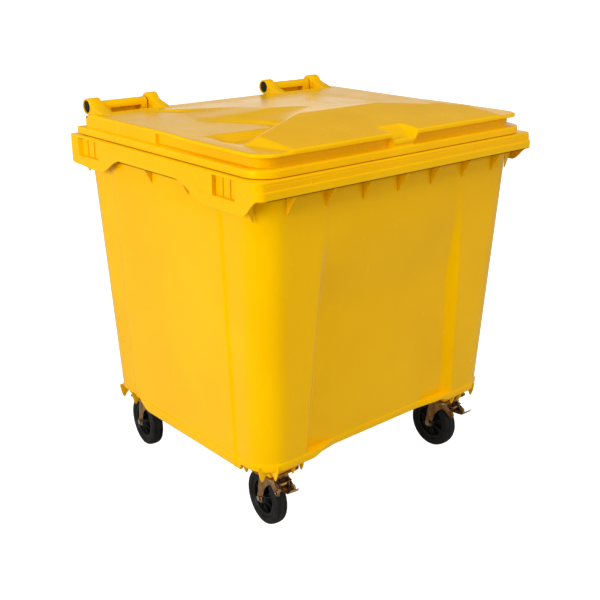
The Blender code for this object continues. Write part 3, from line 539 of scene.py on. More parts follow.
# ---------------------------------------------------------------------------
# plan outlines of the body and the lid
# ---------------------------------------------------------------------------
class Plan:
    """A rounded rectangle with the same points at every level of a moulding.

    Counter-clockwise: front-left corner, front, front-right corner, right side, back-right
    corner, back, back-left corner, left side."""

    def __init__(self, corner_steps, front_steps, side_ys, back_steps):
        self.corner_steps = corner_steps
        self.front_steps = front_steps
        self.side_ys = side_ys
        self.back_steps = back_steps
        sides = len(side_ys) - 1
        counts = (corner_steps, sum(front_steps), corner_steps, sides) * 2
        counts = counts[:5] + (back_steps,) + counts[6:]
        ends = np.cumsum((0, *counts))
        spans = [slice(a, b) for a, b in zip(ends, ends[1:])]
        self.front = spans[1]
        self.sides = ((spans[3], 1.0), (spans[7], -1.0))

    def quarter(self, x, y, radius, start):
        turn = start + np.linspace(0.0, math.pi / 2, self.corner_steps, endpoint=False)
        return x + radius * np.cos(turn), y + radius * np.sin(turn)

    def outline(self, half, front, back, corner, knots, fixed, back_corner=None):
        """x and y of every point; fixed is the stretch of side whose points keep their y."""
        rear = back_corner or corner
        near, far = front + corner, back - rear
        own = (self.side_ys[0], *fixed, self.side_ys[-1])
        side_ys = np.interp(self.side_ys, own, (near, *fixed, far))
        front_xs = spread((-half + corner, *knots, half - corner), self.front_steps)
        back_xs = np.linspace(half - rear, -half + rear, self.back_steps, endpoint=False)
        pieces = [
            self.quarter(-half + corner, near, corner, math.pi),
            (front_xs, np.full(len(front_xs), front)),
            self.quarter(half - corner, near, corner, -math.pi / 2),
            (np.full(len(side_ys) - 1, half), side_ys[:-1]),
            self.quarter(half - rear, far, rear, 0.0),
            (back_xs, np.full(len(back_xs), back)),
            self.quarter(-half + rear, far, rear, math.pi / 2),
            (np.full(len(side_ys) - 1, -half), side_ys[:0:-1]),
        ]
        return np.concatenate([p[0] for p in pieces]), np.concatenate([p[1] for p in pieces])


def ring(x, y, z):
    return np.stack([x, y, np.broadcast_to(z, x.shape)], 1)


# ---------------------------------------------------------------------------
# bin body
# ---------------------------------------------------------------------------
def body_side_ys():
    """Side positions: every 6 mm, with a close pair at each pocket end and panel edge."""
    even = np.linspace(RIM_FRONT + RIM_CORNER, RIM_BACK - RIM_CORNER, 171)
    pairs = [y + step for span in POCKETS for y in span for step in (-0.0006, 0.0006)]
    edges = [SIDE_PANEL[0] + step for step in np.linspace(-0.004, 0.018, 9)]
    edges += [SIDE_PANEL[1] - step for step in np.linspace(-0.004, 0.018, 9)]
    clear = [y for y in even if min(abs(y - p) for p in pairs) > 0.0015]
    return np.array(sorted([*clear, *pairs, *edges]))


BODY = Plan(14, (10, 16, 36, 16, 10), body_side_ys(), 70)
KNOT_MARGIN = 0.007


def panel_edges(z):
    """x of the left and right edge of the front panel at a height."""
    level = np.clip((RIM_LOW - z) / (RIM_LOW - WALL_FOOT), 0.0, 1.0)
    half = PANEL_HALF_TOP + (PANEL_HALF_FOOT - PANEL_HALF_TOP) * level
    return PANEL_X - half, PANEL_X + half


def wall_plan(z, inset=0.0, lip=False):
    """Plan of the wall at a height.  lip gives the foot, whose set-back middle is shorter."""
    taper = WALL_DRAFT * max(RIM_LOW - z, 0.0) + inset
    left, right, slope = (*panel_edges(z), PANEL_SLOPE)
    if lip:
        left, right, slope = (*LIP_MIDDLE, LIP_SLOPE)
    near, far = KNOT_MARGIN, slope + KNOT_MARGIN
    x, y = BODY.outline(
        WALL_HALF - taper, WALL_FRONT + taper, WALL_BACK - taper, WALL_CORNER - inset,
        (left - near, left + far, right - far, right + near), SIDE_PANEL,
    )
    depth = 0.002 + (PANEL_DEPTH - 0.002) * float(smooth(1.09, 0.76, z))
    y[BODY.front] += depth * band(x[BODY.front], left, right, slope)
    out = SIDE_PANEL_OUT * float(smooth(RIM_LOW, RIM_LOW - 0.10, z))
    for side, sign in BODY.sides:
        x[side] += sign * out * band(y[side], *SIDE_PANEL, PANEL_SLOPE / 2)
    return x, y


def rim_plan(inset, front_step=0.0):
    left, right = panel_edges(RIM_LOW)
    knots = (left, left + PANEL_SLOPE, right - PANEL_SLOPE, right)
    x, y = BODY.outline(
        RIM_HALF - inset, RIM_FRONT + front_step + inset, RIM_BACK - inset,
        max(RIM_CORNER - inset, 0.004), knots, SIDE_PANEL, max(RIM_REAR_CORNER - inset, 0.003),
    )
    return x, y


def lobe_edge(x, y):
    """Height of the rim skirt's bottom edge: two lobes hang from each side."""
    drop = RIM_LOW - LOBE_LOW
    front = smooth(-0.545, -0.470, y) * smooth(-0.135, -0.300, y)
    back = smooth(0.195, 0.325, y) * (1.0 - 0.10 * smooth(0.38, 0.47, y))
    back = back * (1.0 - 0.12 * smooth(0.49, 0.52, y))
    near_side = smooth(RIM_HALF - 0.060, RIM_HALF - 0.012, np.abs(x))
    return RIM_LOW - drop * np.maximum(front, back) * near_side


def wall_foot_edge(x, y):
    """Height of the wall's bottom edge: low at the front and at the aprons, high at the rear."""
    sides = smooth(0.50, 0.53, np.abs(x))
    rise = 0.018 * sides * smooth(0.20, 0.28, y)
    middle = band(x, *LIP_MIDDLE, LIP_SLOPE) * smooth(-0.40, -0.43, y)
    corner = smooth(0.300, 0.345, np.abs(x)) * smooth(-0.300, -0.352, y)
    apron = sides * smooth(-0.348, -0.332, y) * (1.0 - smooth(0.205, 0.285, y))
    return 0.289 - 0.013 * (middle + corner) - 0.029 * apron + rise * (1.0 - apron)


def apron_weight(x, y):
    return smooth(0.50, 0.53, np.abs(x)) * smooth(-0.345, -0.325, y) * (1.0 - smooth(0.200, 0.27, y))


def foot_rings():
    """From under the floor, round the wall's bottom edge, up to the small ledge of the lip."""
    x, y = wall_plan(WALL_FOOT, 0.0, True)
    edge = wall_foot_edge(x, y)
    radius = 0.0035 + 0.0065 * apron_weight(x, y)
    inner_x, inner_y = wall_plan(WALL_FOOT, LIP_INNER, True)
    outer_x, outer_y = wall_plan(WALL_FOOT, -LIP_OUT, True)
    deep_x, deep_y = wall_plan(WALL_FOOT, 0.060)
    rings = [
        ring(deep_x, deep_y, FLOOR_UNDER),
        ring(inner_x, inner_y, np.maximum(edge + 0.004, FLOOR_UNDER)),
        ring(inner_x, inner_y, edge + 0.0012),
    ]
    for turn in quarter_turn(4)[::-1]:
        share = radius * (1.0 - math.cos(turn)) / LIP_INNER
        x, y = outer_x + (inner_x - outer_x) * share, outer_y + (inner_y - outer_y) * share
        rings.append(ring(x, y, edge + radius * (1.0 - math.sin(turn))))
    for z, inset in ((LIP_TOP - 0.0015, -LIP_OUT), (LIP_TOP - 0.0004, -LIP_OUT + 0.0005)):
        rings.append(ring(*wall_plan(z, inset, True), z))
    rings.append(ring(*wall_plan(LIP_TOP, 0.0), LIP_TOP + 0.0004))
    return rings


def pocket_offset(y, z):
    inside = np.zeros(y.shape, bool)
    for low, high in POCKETS:
        inside |= (y > low) & (y < high) & (z > POCKET_Z[0]) & (z < POCKET_Z[1])
    return np.where(inside, POCKET_DEPTH, 0.0)


def press_pockets(x, y, z):
    """Push the pocket floors in from the faces of both sides."""
    x = x.copy()
    for side, sign in BODY.sides:
        x[side] -= sign * pocket_offset(y[side], np.broadcast_to(z, x.shape)[side])
    return ring(x, y, z)


def rim_rings():
    """From under the rim, down inside the skirt, round its edge and up the outer face."""
    rings = [
        ring(*wall_plan(UNDER_RIM - 0.004, -0.0005), UNDER_RIM - 0.004),
        ring(*wall_plan(UNDER_RIM, -0.0045), UNDER_RIM),
    ]
    x, y = rim_plan(SHELL)
    hidden = POCKET_DEPTH * sum(smooth(a - 0.012, a, y) * smooth(b + 0.012, b, y) for a, b in POCKETS)
    for side, sign in BODY.sides:
        x[side] -= sign * hidden[side]
    edge = lobe_edge(*rim_plan(0.0))
    rings += [ring(x, y, z) for z in (UNDER_RIM, UNDER_RIM - 0.01, edge + 0.012)]
    x, y = rim_plan(SHELL)
    rings += [ring(x, y, edge + 0.010), ring(x, y, edge + 0.001), ring(*rim_plan(SHELL - 0.001), edge)]
    fillet = 0.0022
    for turn in quarter_turn(4)[3::-1]:
        inset = fillet * (1.0 - math.cos(turn))
        rings.append(ring(*rim_plan(inset), edge + fillet * (1.0 - math.sin(turn))))
    x, y = rim_plan(0.0)
    foot = edge + fillet
    low_pocket = (POCKET_Z[0] - LOBE_LOW - fillet) / (RIM_LOW - LOBE_LOW - fillet)
    for share in (0.12, 0.25, 0.38, 0.50, 0.62, low_pocket - 0.012, low_pocket + 0.012, 0.84, 0.92):
        rings.append(press_pockets(x, y, foot + (RIM_LOW - foot) * share))
    for z in (RIM_LOW, 1.227, 1.234, 1.240, RIM_STEP - 0.0015):
        rings.append(press_pockets(x, y, z))
    for inset, z in ((0.0004, RIM_STEP - 0.0004), (0.0014, RIM_STEP)):
        x, y = rim_plan(0.0, inset)
        rings.append(press_pockets(x, y, z))
    x, y = rim_plan(0.0, RIM_STEP_IN)
    for z in (RIM_STEP + 0.0002, 1.254, 1.260, 1.265, POCKET_Z[1] - 0.0006, POCKET_Z[1] + 0.0006):
        rings.append(press_pockets(x, y, z))
    fillet = 0.0032
    for turn in quarter_turn(4):
        inset = fillet * (1.0 - math.cos(turn))
        z = RIM_TOP - fillet * (1.0 - math.sin(turn))
        rings.append(ring(*rim_plan(inset, RIM_STEP_IN), z))
    return rings


def make_body():
    rings = foot_rings()
    for z in np.linspace(LIP_TOP + 0.012, UNDER_RIM - 0.012, 46):
        rings.append(ring(*wall_plan(z), z))
    rings += rim_rings()
    rings.append(ring(*wall_plan(RIM_TOP, SHELL - 0.003), RIM_TOP))
    rings.append(ring(*wall_plan(RIM_TOP, SHELL), RIM_TOP - 0.003))
    bend = FLOOR_TOP + FLOOR_FILLET
    for z in np.linspace(RIM_TOP - 0.03, bend + 0.010, 22):
        rings.append(ring(*wall_plan(z, SHELL), z))
    for turn in quarter_turn(4):
        inset = SHELL + FLOOR_FILLET * (1.0 - math.cos(turn))
        rings.append(ring(*wall_plan(bend, inset), bend - FLOOR_FILLET * math.sin(turn)))
    return ride(skin("bin_body_shell", rings, YELLOW), "body", "bin_body")


def side_beads():
    """An S-shaped bead that runs down from the rim's top beside each front pocket."""
    count = 40
    t = np.linspace(0.0, 1.0, count)
    ys = -0.218 - 0.042 * smooth(0.0, 0.72, t) - 0.068 * np.clip((t - 0.62) / 0.38, 0.0, 1.0) ** 1.4
    zs = soft_max(1.2715 - 0.0665 * np.clip(t / 0.80, 0.0, 1.0), 1.2045, 0.010)
    radii = 0.0006 + 0.0026 * smooth(0.0, 0.2, t) * smooth(1.0, 0.75, t)
    for sign, label in SIDES:
        points = np.stack([np.full(count, sign * (RIM_HALF - 0.0008)), ys, zs], 1)
        ride(sweep(f"side_bead_{label}", points, radii, YELLOW), "body")


def pocket_strips():
    """Thin upright strips inside each pocket."""
    floor, half = RIM_HALF - POCKET_DEPTH, 0.002
    for sign, label in SIDES:
        span = side_span(sign, floor - 0.002, floor + 0.004)
        for (low, high), end in zip(POCKETS, ("front", "rear")):
            for index in (1, 2):
                y = low + (high - low) * index / 3
                outline = rectangle(y - half, y + half, *POCKET_Z)
                strip = prism(f"pocket_strip_{label}_{end}_{index}", outline, "X", *span, YELLOW, 0.0008, 2)
                ride(strip, "body")


def rim_ribs():
    """Gussets under the rim: seven at the front and back, two and two half ones at each side."""
    half, rounding = 0.0018, 0.0009
    top, face = UNDER_RIM + 0.001, RIM_FRONT + 0.003
    front = [
        (WALL_FRONT + 0.004, 1.152), (WALL_FRONT - 0.001, 1.156), (face, RIM_LOW - 0.001),
        (face, RIM_STEP - 0.003), (face + 0.0075, RIM_STEP - 0.003), (face + 0.0075, top),
        (WALL_FRONT + 0.003, top),
    ]
    back = [
        (WALL_BACK - 0.004, 1.156), (WALL_BACK - 0.003, top), (RIM_BACK - 0.003, top),
        (RIM_BACK - 0.003, RIM_LOW - 0.001), (WALL_BACK + 0.001, 1.160),
    ]
    for index in range(RIB_COUNT):
        x = RIB_MIDDLE_X + (index - (RIB_COUNT - 1) / 2) * RIB_PITCH
        for end, outline in (("front", front), ("back", back)):
            rib = prism(f"rim_rib_{end}_{index + 1}", outline, "X", x - half, x + half, YELLOW, rounding)
            ride(rib, "body")
    for sign, label in SIDES:
        outer = sign * (RIM_HALF - 0.003)
        for index, y in enumerate((-0.470, -0.162, 0.045, 0.472), start=1):
            inset, foot = (0.012, 1.140) if abs(y) > 0.4 else (0.004, 1.166)
            wall = sign * (WALL_HALF - inset)
            outline = [
                (wall, foot), (wall + sign * 0.006, foot + 0.003), (outer, RIM_LOW + 0.001),
                (outer, top), (wall, top),
            ]
            rib = prism(f"rim_rib_{label}_{index}", outline, "Y", y - half, y + half, YELLOW, rounding)
            ride(rib, "body")


def hinge_spans(sign):
    """x ranges of the outer knuckle, the bar and the inner knuckle."""
    outer, spans = HINGE_OUTER_X, []
    for width in HINGE_WIDTHS:
        spans.append(side_span(sign, outer - width, outer))
        outer -= width + HINGE_GAP
    return spans


def hinge_bars():
    """The bar between the knuckles: a rounded upright block with a hand recess in front."""
    top, radius = HINGE_Z + 0.0155, 0.016
    front, back = HINGE_Y - 0.018, HINGE_Y + 0.0175
    outline = [(front, RIM_TOP - 0.004), (back - 0.001, RIM_LOW + 0.030), (back, HINGE_Z)]
    outline += arc(radius, 20, 90, 5, (back - radius, top - radius))[1:]
    outline += arc(radius, 90, 165, 5, (front + radius, top - radius))
    outline += [(front, HINGE_Z - 0.004)]
    for sign, label in SIDES:
        low, high = hinge_spans(sign)[1]
        bar = prism(f"hinge_bar_{label}", outline, "X", low, high, YELLOW)
        near, far = (0.0345, 0.0265) if sign < 0 else (0.0265, 0.0345)
        hand_room = rectangle(low + near, high - far, 1.305, 1.3495)
        subtract(bar, prism("cutter", hand_room, "Y", HINGE_Y - 0.04, HINGE_Y + 0.009, YELLOW))
        round_edges(bar, 0.0022, 3, 35)
        ride(bar, "body")


def castor_bosses():
    """Under the floor: a block over each castor, with pointed stiffening fins to the walls."""
    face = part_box("castor_plate_front_left")[1].z + 0.0004
    for name, (centre, _) in CASTORS.items():
        sign, end = math.copysign(1.0, centre.x), math.copysign(1.0, centre.y)
        half_x, half_y = BOSS_HALF
        outline = rectangle(centre.x - half_x, centre.x + half_x, centre.y - half_y, centre.y + half_y)
        boss = prism(f"castor_boss_{name}", outline, "Z", face, FLOOR_UNDER + 0.004, YELLOW, 0.003)
        for x in (centre.x - BOLT_PLACE[0], centre.x + BOLT_PLACE[0]):
            for y in (centre.y - BOLT_PLACE[1], centre.y + BOLT_PLACE[1]):
                drill(boss, "Z", 0.2, 0.268, 0.0062, 20, (x, y))
        ride(boss, "body")
        wall_y = -0.4705 if end < 0 else 0.4600
        for index, x in enumerate((0.386, 0.424, 0.499), start=1):
            fin(f"fin_end_{name}_{index}", "X", sign * x, wall_y, end, centre.y + end * 0.044)
        for index, y in enumerate((0.346, 0.430), start=1):
            fin(f"fin_side_{name}_{index}", "Y", end * y, sign * 0.5530, sign, centre.x + sign * 0.056)


def fin(name, along, place, wall, outward, boss):
    """A thin upright fin that hangs to a rounded point just inside the wall."""
    top, tip_z = FLOOR_UNDER + 0.003, 0.2405
    tip = wall - outward * 0.016
    hollow = [
        (boss + (tip - outward * 0.004 - boss) * t, 0.250 - 0.008 * t ** 4 + 0.012 * math.sin(math.pi * t))
        for t in np.linspace(0.0, 1.0, 7)
    ]
    point = [(tip - outward * 0.0015, tip_z), (tip + outward * 0.001, tip_z)]
    outer = [
        (tip + outward * (0.0145 * t ** 0.7 + 0.0015), tip_z + 0.050 * t)
        for t in np.linspace(0.0, 1.0, 6)[1:]
    ]
    outline = [(boss, top), *hollow, *point, *outer, (wall, top)]
    ride(prism(name, outline, along, place - 0.002, place + 0.002, YELLOW, 0.0009), "body")


# ---------------------------------------------------------------------------
# lid
# ---------------------------------------------------------------------------
def lid_side_ys():
    """Side positions, close together where the side wall steps back."""
    coarse = np.linspace(LID_FRONT + LID_CORNER, LID_BACK - 0.045, 120)
    fine = np.linspace(*GRIP_SPAN, 37)
    clear = [y for y in coarse if y < fine[0] - 0.002 or y > fine[-1] + 0.002]
    return np.array(sorted([*clear, *fine]))


LID = Plan(16, (56, 10, 12, 12, 60), lid_side_ys(), 90)
LID_MIDDLE_Y = (LID_FRONT + LID_BACK) / 2


def lid_plan(half, front, back, corner, back_corner):
    knots = (NOTCH[0] - 0.004, NOTCH[0] + 0.014, NOTCH[1] - 0.021, NOTCH[1] + 0.004)
    return LID.outline(half, front, back, corner, knots, GRIP_SPAN, max(back_corner, 0.002))


def brim_plan(inset):
    """Plan of the lid's top edge: flush at the rear, wider in front where it forms a grip."""
    x, y = lid_plan(
        LID_HALF - inset, LID_FRONT + inset, LID_BACK - inset,
        LID_CORNER - inset, LID_REAR_CORNER - inset,
    )
    return x + np.sign(x) * BRIM_OUT * smooth(0.45, 0.52, np.abs(x)) * smooth(0.02, -0.24, y), y


def blended(y, *tables):
    """Smoothly interpolated widths along the lid, from (y, width) corner points."""
    widths = []
    for table in tables:
        ys, values = zip(*table)
        near, here, far = (np.interp(y + step, ys, values) for step in (-0.022, 0.0, 0.022))
        widths.append((near + 2.0 * here + far) / 4.0)
    return widths


# Half widths of the raised centre behind its crest: flat top, fold in its side, and foot.
DOME_TOP = (
    (-0.205, 0.190), (-0.079, 0.133), (0.0, 0.113), (0.051, 0.114), (0.115, 0.131),
    (0.174, 0.161), (0.218, 0.211), (0.291, 0.299), (0.420, 0.430),
)
DOME_FOLD = (
    (-0.205, 0.240), (-0.130, 0.232), (-0.075, 0.239), (-0.020, 0.259), (0.030, 0.285),
    (0.080, 0.324), (0.130, 0.350), (0.250, 0.302), (0.291, 0.308), (0.420, 0.437),
)
DOME_FOOT = (
    (-0.205, 0.250), (-0.130, 0.284), (-0.086, 0.312), (-0.039, 0.339), (0.021, 0.368),
    (0.091, 0.386), (0.140, 0.365), (0.250, 0.319), (0.291, 0.318), (0.420, 0.447),
)
RIDGE = ((0.180, -0.200), (0.490, -0.370))    # the crest's ends sweep forward to the nose


def lid_top_height(x, y):
    """Height of the lid's upper face."""
    a = np.abs(x)
    base = LID_EDGE - 0.010 * soft_ramp((y - 0.448) / 0.036, 0.2)
    edge_y = -0.161 - 0.094 * (0.534 - np.minimum(a, 0.534))
    valley = np.minimum(soft_ramp((edge_y - y) / 0.060, 0.07), soft_ramp((y + 0.388) / 0.152, 0.05))
    base = base - 0.019 * valley * (1.0 - soft_ramp((a - 0.487) / 0.062, 0.2))
    front = LID_CREST_Z + 0.1119 * (y - LID_CREST_Y)
    rear = LID_CREST_Z - 0.0656 * (y - LID_CREST_Y)
    top = soft_min(front, rear, 0.0012)
    flat, fold, foot = blended(y, DOME_TOP, DOME_FOLD, DOME_FOOT)
    fold_z = 1.3530 - 0.0055 * smooth(0.02, 0.17, y)
    upper = top + (fold_z - top) * (a - flat) / (fold - flat)
    lower = fold_z + (LID_EDGE - fold_z) * (a - fold) / (foot - fold)
    spine = soft_min(soft_min(top, upper, 0.0006), lower, 0.0003)
    (x0, y0), (x1, y1) = RIDGE
    length = math.hypot(x1 - x0, y1 - y0)
    behind = ((a - x0) * (y0 - y1) + (y - y0) * (x1 - x0)) / length
    nose = soft_min(top, top - 0.75 * behind, 0.0030)
    nose = soft_min(nose, front - 0.42 * (a - 0.478), 0.0022)
    height = soft_max(soft_max(spine, nose, 0.0010), base, 0.0010)
    return height - notch_drop(x, y)


def notch_shape(x):
    """1 in the finger notch, 0 beside it."""
    return soft_ramp((x - NOTCH[0]) / 0.010, 0.12) * (1.0 - soft_ramp((x - NOTCH[1] + 0.017) / 0.017, 0.12))


def notch_drop(x, y):
    slope = 0.35 * smooth(-0.445, -0.462, y) + 0.65 * smooth(-0.455, -0.512, y)
    return NOTCH_DROP * notch_shape(x) * slope


def recess(y):
    """1 where the lid's side wall is set back, 0 behind the recess's upright edge."""
    return smooth(RECESS_Y + 0.0025, RECESS_Y - 0.0025, y)


def lid_wall(inset=0.0):
    """Plan of the wall under the brim.  Its outside comes forward under the notch."""
    back, rear = LID_BACK - inset, LID_REAR_CORNER - inset
    flush_x, flush_y = lid_plan(LID_HALF - inset, LID_FRONT + inset, back, LID_CORNER - inset, rear)
    side_in, front_in = RECESS_IN
    back_x, back_y = lid_plan(
        LID_HALF - side_in - inset, LID_FRONT + front_in + inset, back, LID_CORNER - 0.012 - inset, rear,
    )
    share = recess(flush_y)
    x = flush_x + (back_x - flush_x) * share
    y = flush_y + (back_y - flush_y) * share
    if inset <= 0.0:
        y[LID.front] -= NOTCH_IN * notch_shape(x[LID.front])
    return x, y


def flange(inset):
    return lid_plan(
        LID_FLANGE_HALF - inset, LID_FLANGE_FRONT + inset, LID_FLANGE_BACK - inset,
        0.078 - inset, LID_REAR_CORNER - inset,
    )


def lid_rings():
    """From the middle of the top, over the brim, down to the flange and back under the shell."""
    rings = []
    brim_x, brim_y = brim_plan(0.0)
    grip = recess(brim_y)
    top_x, top_y = brim_plan(BRIM_FILLET)
    for scale in (*np.linspace(0.02, 0.985, 92), 1.0):
        x, y = top_x * scale, LID_MIDDLE_Y + (top_y - LID_MIDDLE_Y) * scale
        rings.append(ring(x, y, lid_top_height(x, y)))
    edge = lid_top_height(top_x, top_y)
    for turn in quarter_turn(5)[1:]:
        x, y = brim_plan(BRIM_FILLET * (1.0 - math.sin(turn)))
        rings.append(ring(x, y, edge - BRIM_FILLET * (1.0 - math.cos(turn))))
    low = BRIM_LOW - NOTCH_DROP * notch_shape(brim_x) * smooth(-0.45, -0.50, brim_y)
    rings.append(ring(brim_x, brim_y, low + 0.0015))
    x, y = brim_plan(0.0015)
    rings.append(ring(brim_x + (x - brim_x) * grip, brim_y + (y - brim_y) * grip, low))
    wall_x, wall_y = lid_wall()
    rings.append(ring(wall_x, wall_y, low - 0.0005))
    wall_top = low - 0.001       # no ring of the wall goes above this, also under the notch
    for z in (1.3315, 1.3285, 1.3255, 1.3225, 1.3195, 1.3165, 1.312, 1.308):
        rings.append(ring(wall_x, wall_y, np.where(wall_top > z, z, wall_top - (1.3315 - z) * 0.02)))
    base = LID_FLANGE_Z[1]
    fillet = 0.003
    for turn in quarter_turn(3):
        x, y = lid_wall(-fillet * (1.0 - math.cos(turn)) - 1e-6)
        rings.append(ring(x, y, base + fillet * (1.0 - math.sin(turn))))
    fillet = 0.0035
    for turn in quarter_turn(3):
        inset = fillet * (1.0 - math.sin(turn))
        rings.append(ring(*flange(inset), base - fillet * (1.0 - math.cos(turn))))
    rings += [ring(*flange(0.0), LID_FLANGE_Z[0] + 0.001), ring(*flange(0.001), LID_FLANGE_Z[0])]
    rings += [ring(*flange(SHELL), LID_FLANGE_Z[0]), ring(*flange(SHELL + 0.0005), base - SHELL)]
    rings += [ring(*lid_wall(SHELL), base - SHELL), ring(*lid_wall(SHELL), 1.310)]
    under_x, under_y = lid_wall(SHELL + 0.002)
    for scale in np.linspace(1.0, 0.03, 40):
        x, y = under_x * scale, LID_MIDDLE_Y + (under_y - LID_MIDDLE_Y) * scale
        rings.append(ring(x, y, lid_top_height(x, y) - SHELL - 0.004 * smooth(0.9, 1.0, scale)))
    return rings


def make_lid():
    return ride(skin("lid_shell", lid_rings(), YELLOW), "lid", "lid")


def knuckles():
    """Four knuckles with seats for the pins' heads, and arms down to the lid's rear edge."""
    bore, seat, depth, r = 0.0116, 0.0226, 0.0098, KNUCKLE_RADIUS
    for sign, label in SIDES:
        outer, _, inner = hinge_spans(sign)
        for (low, high), part, inward in ((outer, "outer", -sign), (inner, "inner", sign)):
            seat_at, far = (high, low) if inward < 0 else (low, high)
            profile = [
                (bore, far), (r - 0.003, far),
                (r - 0.0009, far - inward * 0.0009), (r, far - inward * 0.003),
                (r, seat_at + inward * 0.003), (r - 0.0009, seat_at + inward * 0.0009),
                (r - 0.003, seat_at), (seat + 0.0008, seat_at), (seat, seat_at + inward * 0.0008),
                (seat, seat_at + inward * depth), (bore, seat_at + inward * depth),
            ]
            knuckle = lathe(f"lid_knuckle_{label}_{part}", profile, YELLOW, 64)
            knuckle.location = (0.0, HINGE_Y, HINGE_Z)
            ride(knuckle, "lid")
            arm(f"lid_arm_{label}_{part}", low, high)


def arm(name, low, high):
    """A concave gusset that runs forward from a knuckle, on a pointed foot plate."""
    slope = [
        (HINGE_Y - 0.004, HINGE_Z + 0.0275), (HINGE_Y - 0.013, HINGE_Z + 0.0240),
        (HINGE_Y - 0.028, HINGE_Z + 0.0105), (HINGE_Y - 0.048, HINGE_Z + 0.0010),
        (HINGE_Y - 0.075, HINGE_Z - 0.0065), (0.428, LID_EDGE + 0.0015), (0.415, LID_EDGE - 0.001),
    ]
    under = [
        (0.430, 1.338), (0.470, 1.3285), (0.486, 1.312), (HINGE_Y - 0.020, 1.316), (HINGE_Y - 0.002, 1.3330),
    ]
    inner = [
        (HINGE_Y - 0.011, HINGE_Z - 0.0230), (HINGE_Y - 0.0240, HINGE_Z - 0.008),
        (HINGE_Y - 0.0250, HINGE_Z + 0.002), (HINGE_Y - 0.020, HINGE_Z + 0.0125),
    ]
    gusset = prism("gusset", slope + under + inner, "X", low + 0.001, high - 0.001, YELLOW, 0.0022)
    middle = (low + high) / 2
    plate = [
        (low - 0.002, 0.489), (high + 0.002, 0.489), (high + 0.002, 0.455),
        (middle + 0.010, 0.404), (middle - 0.010, 0.404), (low - 0.002, 0.455),
    ]
    plate = prism("plate", plate, "Z", 1.3290, LID_EDGE + 0.0012, YELLOW, 0.0025)
    ride(join(name, [gusset, plate]), "lid")


def hinge_pins():
    """Pins whose broad domed heads fill the seats in the outer and inner knuckles."""
    head, pin, thick = 0.0216, 0.0105, 0.008
    for _, label in SIDES:
        node = f"hinge_pin_{label}"
        low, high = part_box(node)[0].x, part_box(node)[1].x
        middle, half = (low + high) / 2, (high - low) / 2
        end = [
            (0.0, half), (0.010, half - 0.0001), (0.0165, half - 0.0006),
            (0.0200, half - 0.0014), (head, half - 0.0032), (head, half - thick), (pin, half - thick),
        ]
        piece = lathe(f"{node}_visual", both_ends(end), BLACK, 64)
        piece.location = (middle, HINGE_Y, HINGE_Z)
        ride(piece, "body", node)


# ---------------------------------------------------------------------------
# castors, each built round its swivel axis with the wheel trailing along +Y
# ---------------------------------------------------------------------------
def castor_matrix(name, y=0.0, z=0.0):
    """Place of a point of the castor's frame, whose X runs along the axle."""
    across = Vector(JOINTS[f"wheel_{name}_spin"]["axis"]).normalized()
    along = Vector((0.0, 0.0, 1.0)).cross(across)
    centre = CASTORS[name][0]
    origin = Vector((centre.x, centre.y, 0.0)) + along * y + Vector((0.0, 0.0, z))
    turn = Matrix((across, along, (0.0, 0.0, 1.0))).transposed()
    return Matrix.Translation(origin) @ turn.to_4x4()


def soften(outline, rounds=2):
    """Round the corners of a closed outline by cutting them again and again."""
    points = np.asarray(outline, float)
    for _ in range(rounds):
        after = np.roll(points, -1, axis=0)
        points = np.stack([0.75 * points + 0.25 * after, 0.25 * points + 0.75 * after], 1).reshape(-1, 2)
    return [tuple(p) for p in points]


def upright(obj):
    """Stand a piece turned round X up along Z."""
    obj.data.transform(Matrix.Rotation(-math.pi / 2, 4, "Y"))
    return obj


def leg_outline(braked):
    """Side view of a leg: an eye at the axle, an arch over the tyre, and the brake's cheek."""
    eye = arc(0.0168, -178, 8, 12, (TRAIL, WHEEL_RADIUS))
    rear = [(0.0640, 0.118), (0.0600, 0.150), (0.0500, 0.192), (0.0400, 0.210), (0.0360, 0.2165)]
    arch = [(-0.004, 0.178), (0.010, 0.165), (0.022, 0.146), (0.030, 0.124), (0.0350, 0.108)]
    front = [(-0.034, 0.2165), (-0.035, 0.198), (-0.018, 0.1885)]
    if braked:
        front = [
            (-0.036, 0.2165), (-0.042, 0.2040), (-0.058, 0.1970), (-0.0760, 0.1880), (-0.0770, 0.1720),
            (-0.0600, 0.1620), (-0.0430, 0.1730), (-0.0290, 0.1850), (-0.016, 0.1860),
        ]
    return eye + soften([*rear, *front, *arch], 1)


def fork_legs(braked):
    """Two pressed legs, each with a swage down its middle."""
    swage = soften([
        (0.046, 0.128), (0.040, 0.160), (0.024, 0.200), (0.036, 0.205), (0.047, 0.180), (0.054, 0.130),
    ])
    parts = []
    for sign, _ in SIDES:
        leg = prism("leg", leg_outline(braked), "X", *side_span(sign, *LEG_X), BRONZE)
        drill(leg, "X", -0.05, 0.05, 0.0066, 24, (TRAIL, WHEEL_RADIUS))
        round_edges(leg, 0.0010, 3, 40)
        span = side_span(sign, LEG_X[1] - 0.0005, LEG_X[1] + 0.0014)
        parts += [leg, prism("swage", swage, "X", *span, BRONZE, 0.0009, 3)]
    return parts


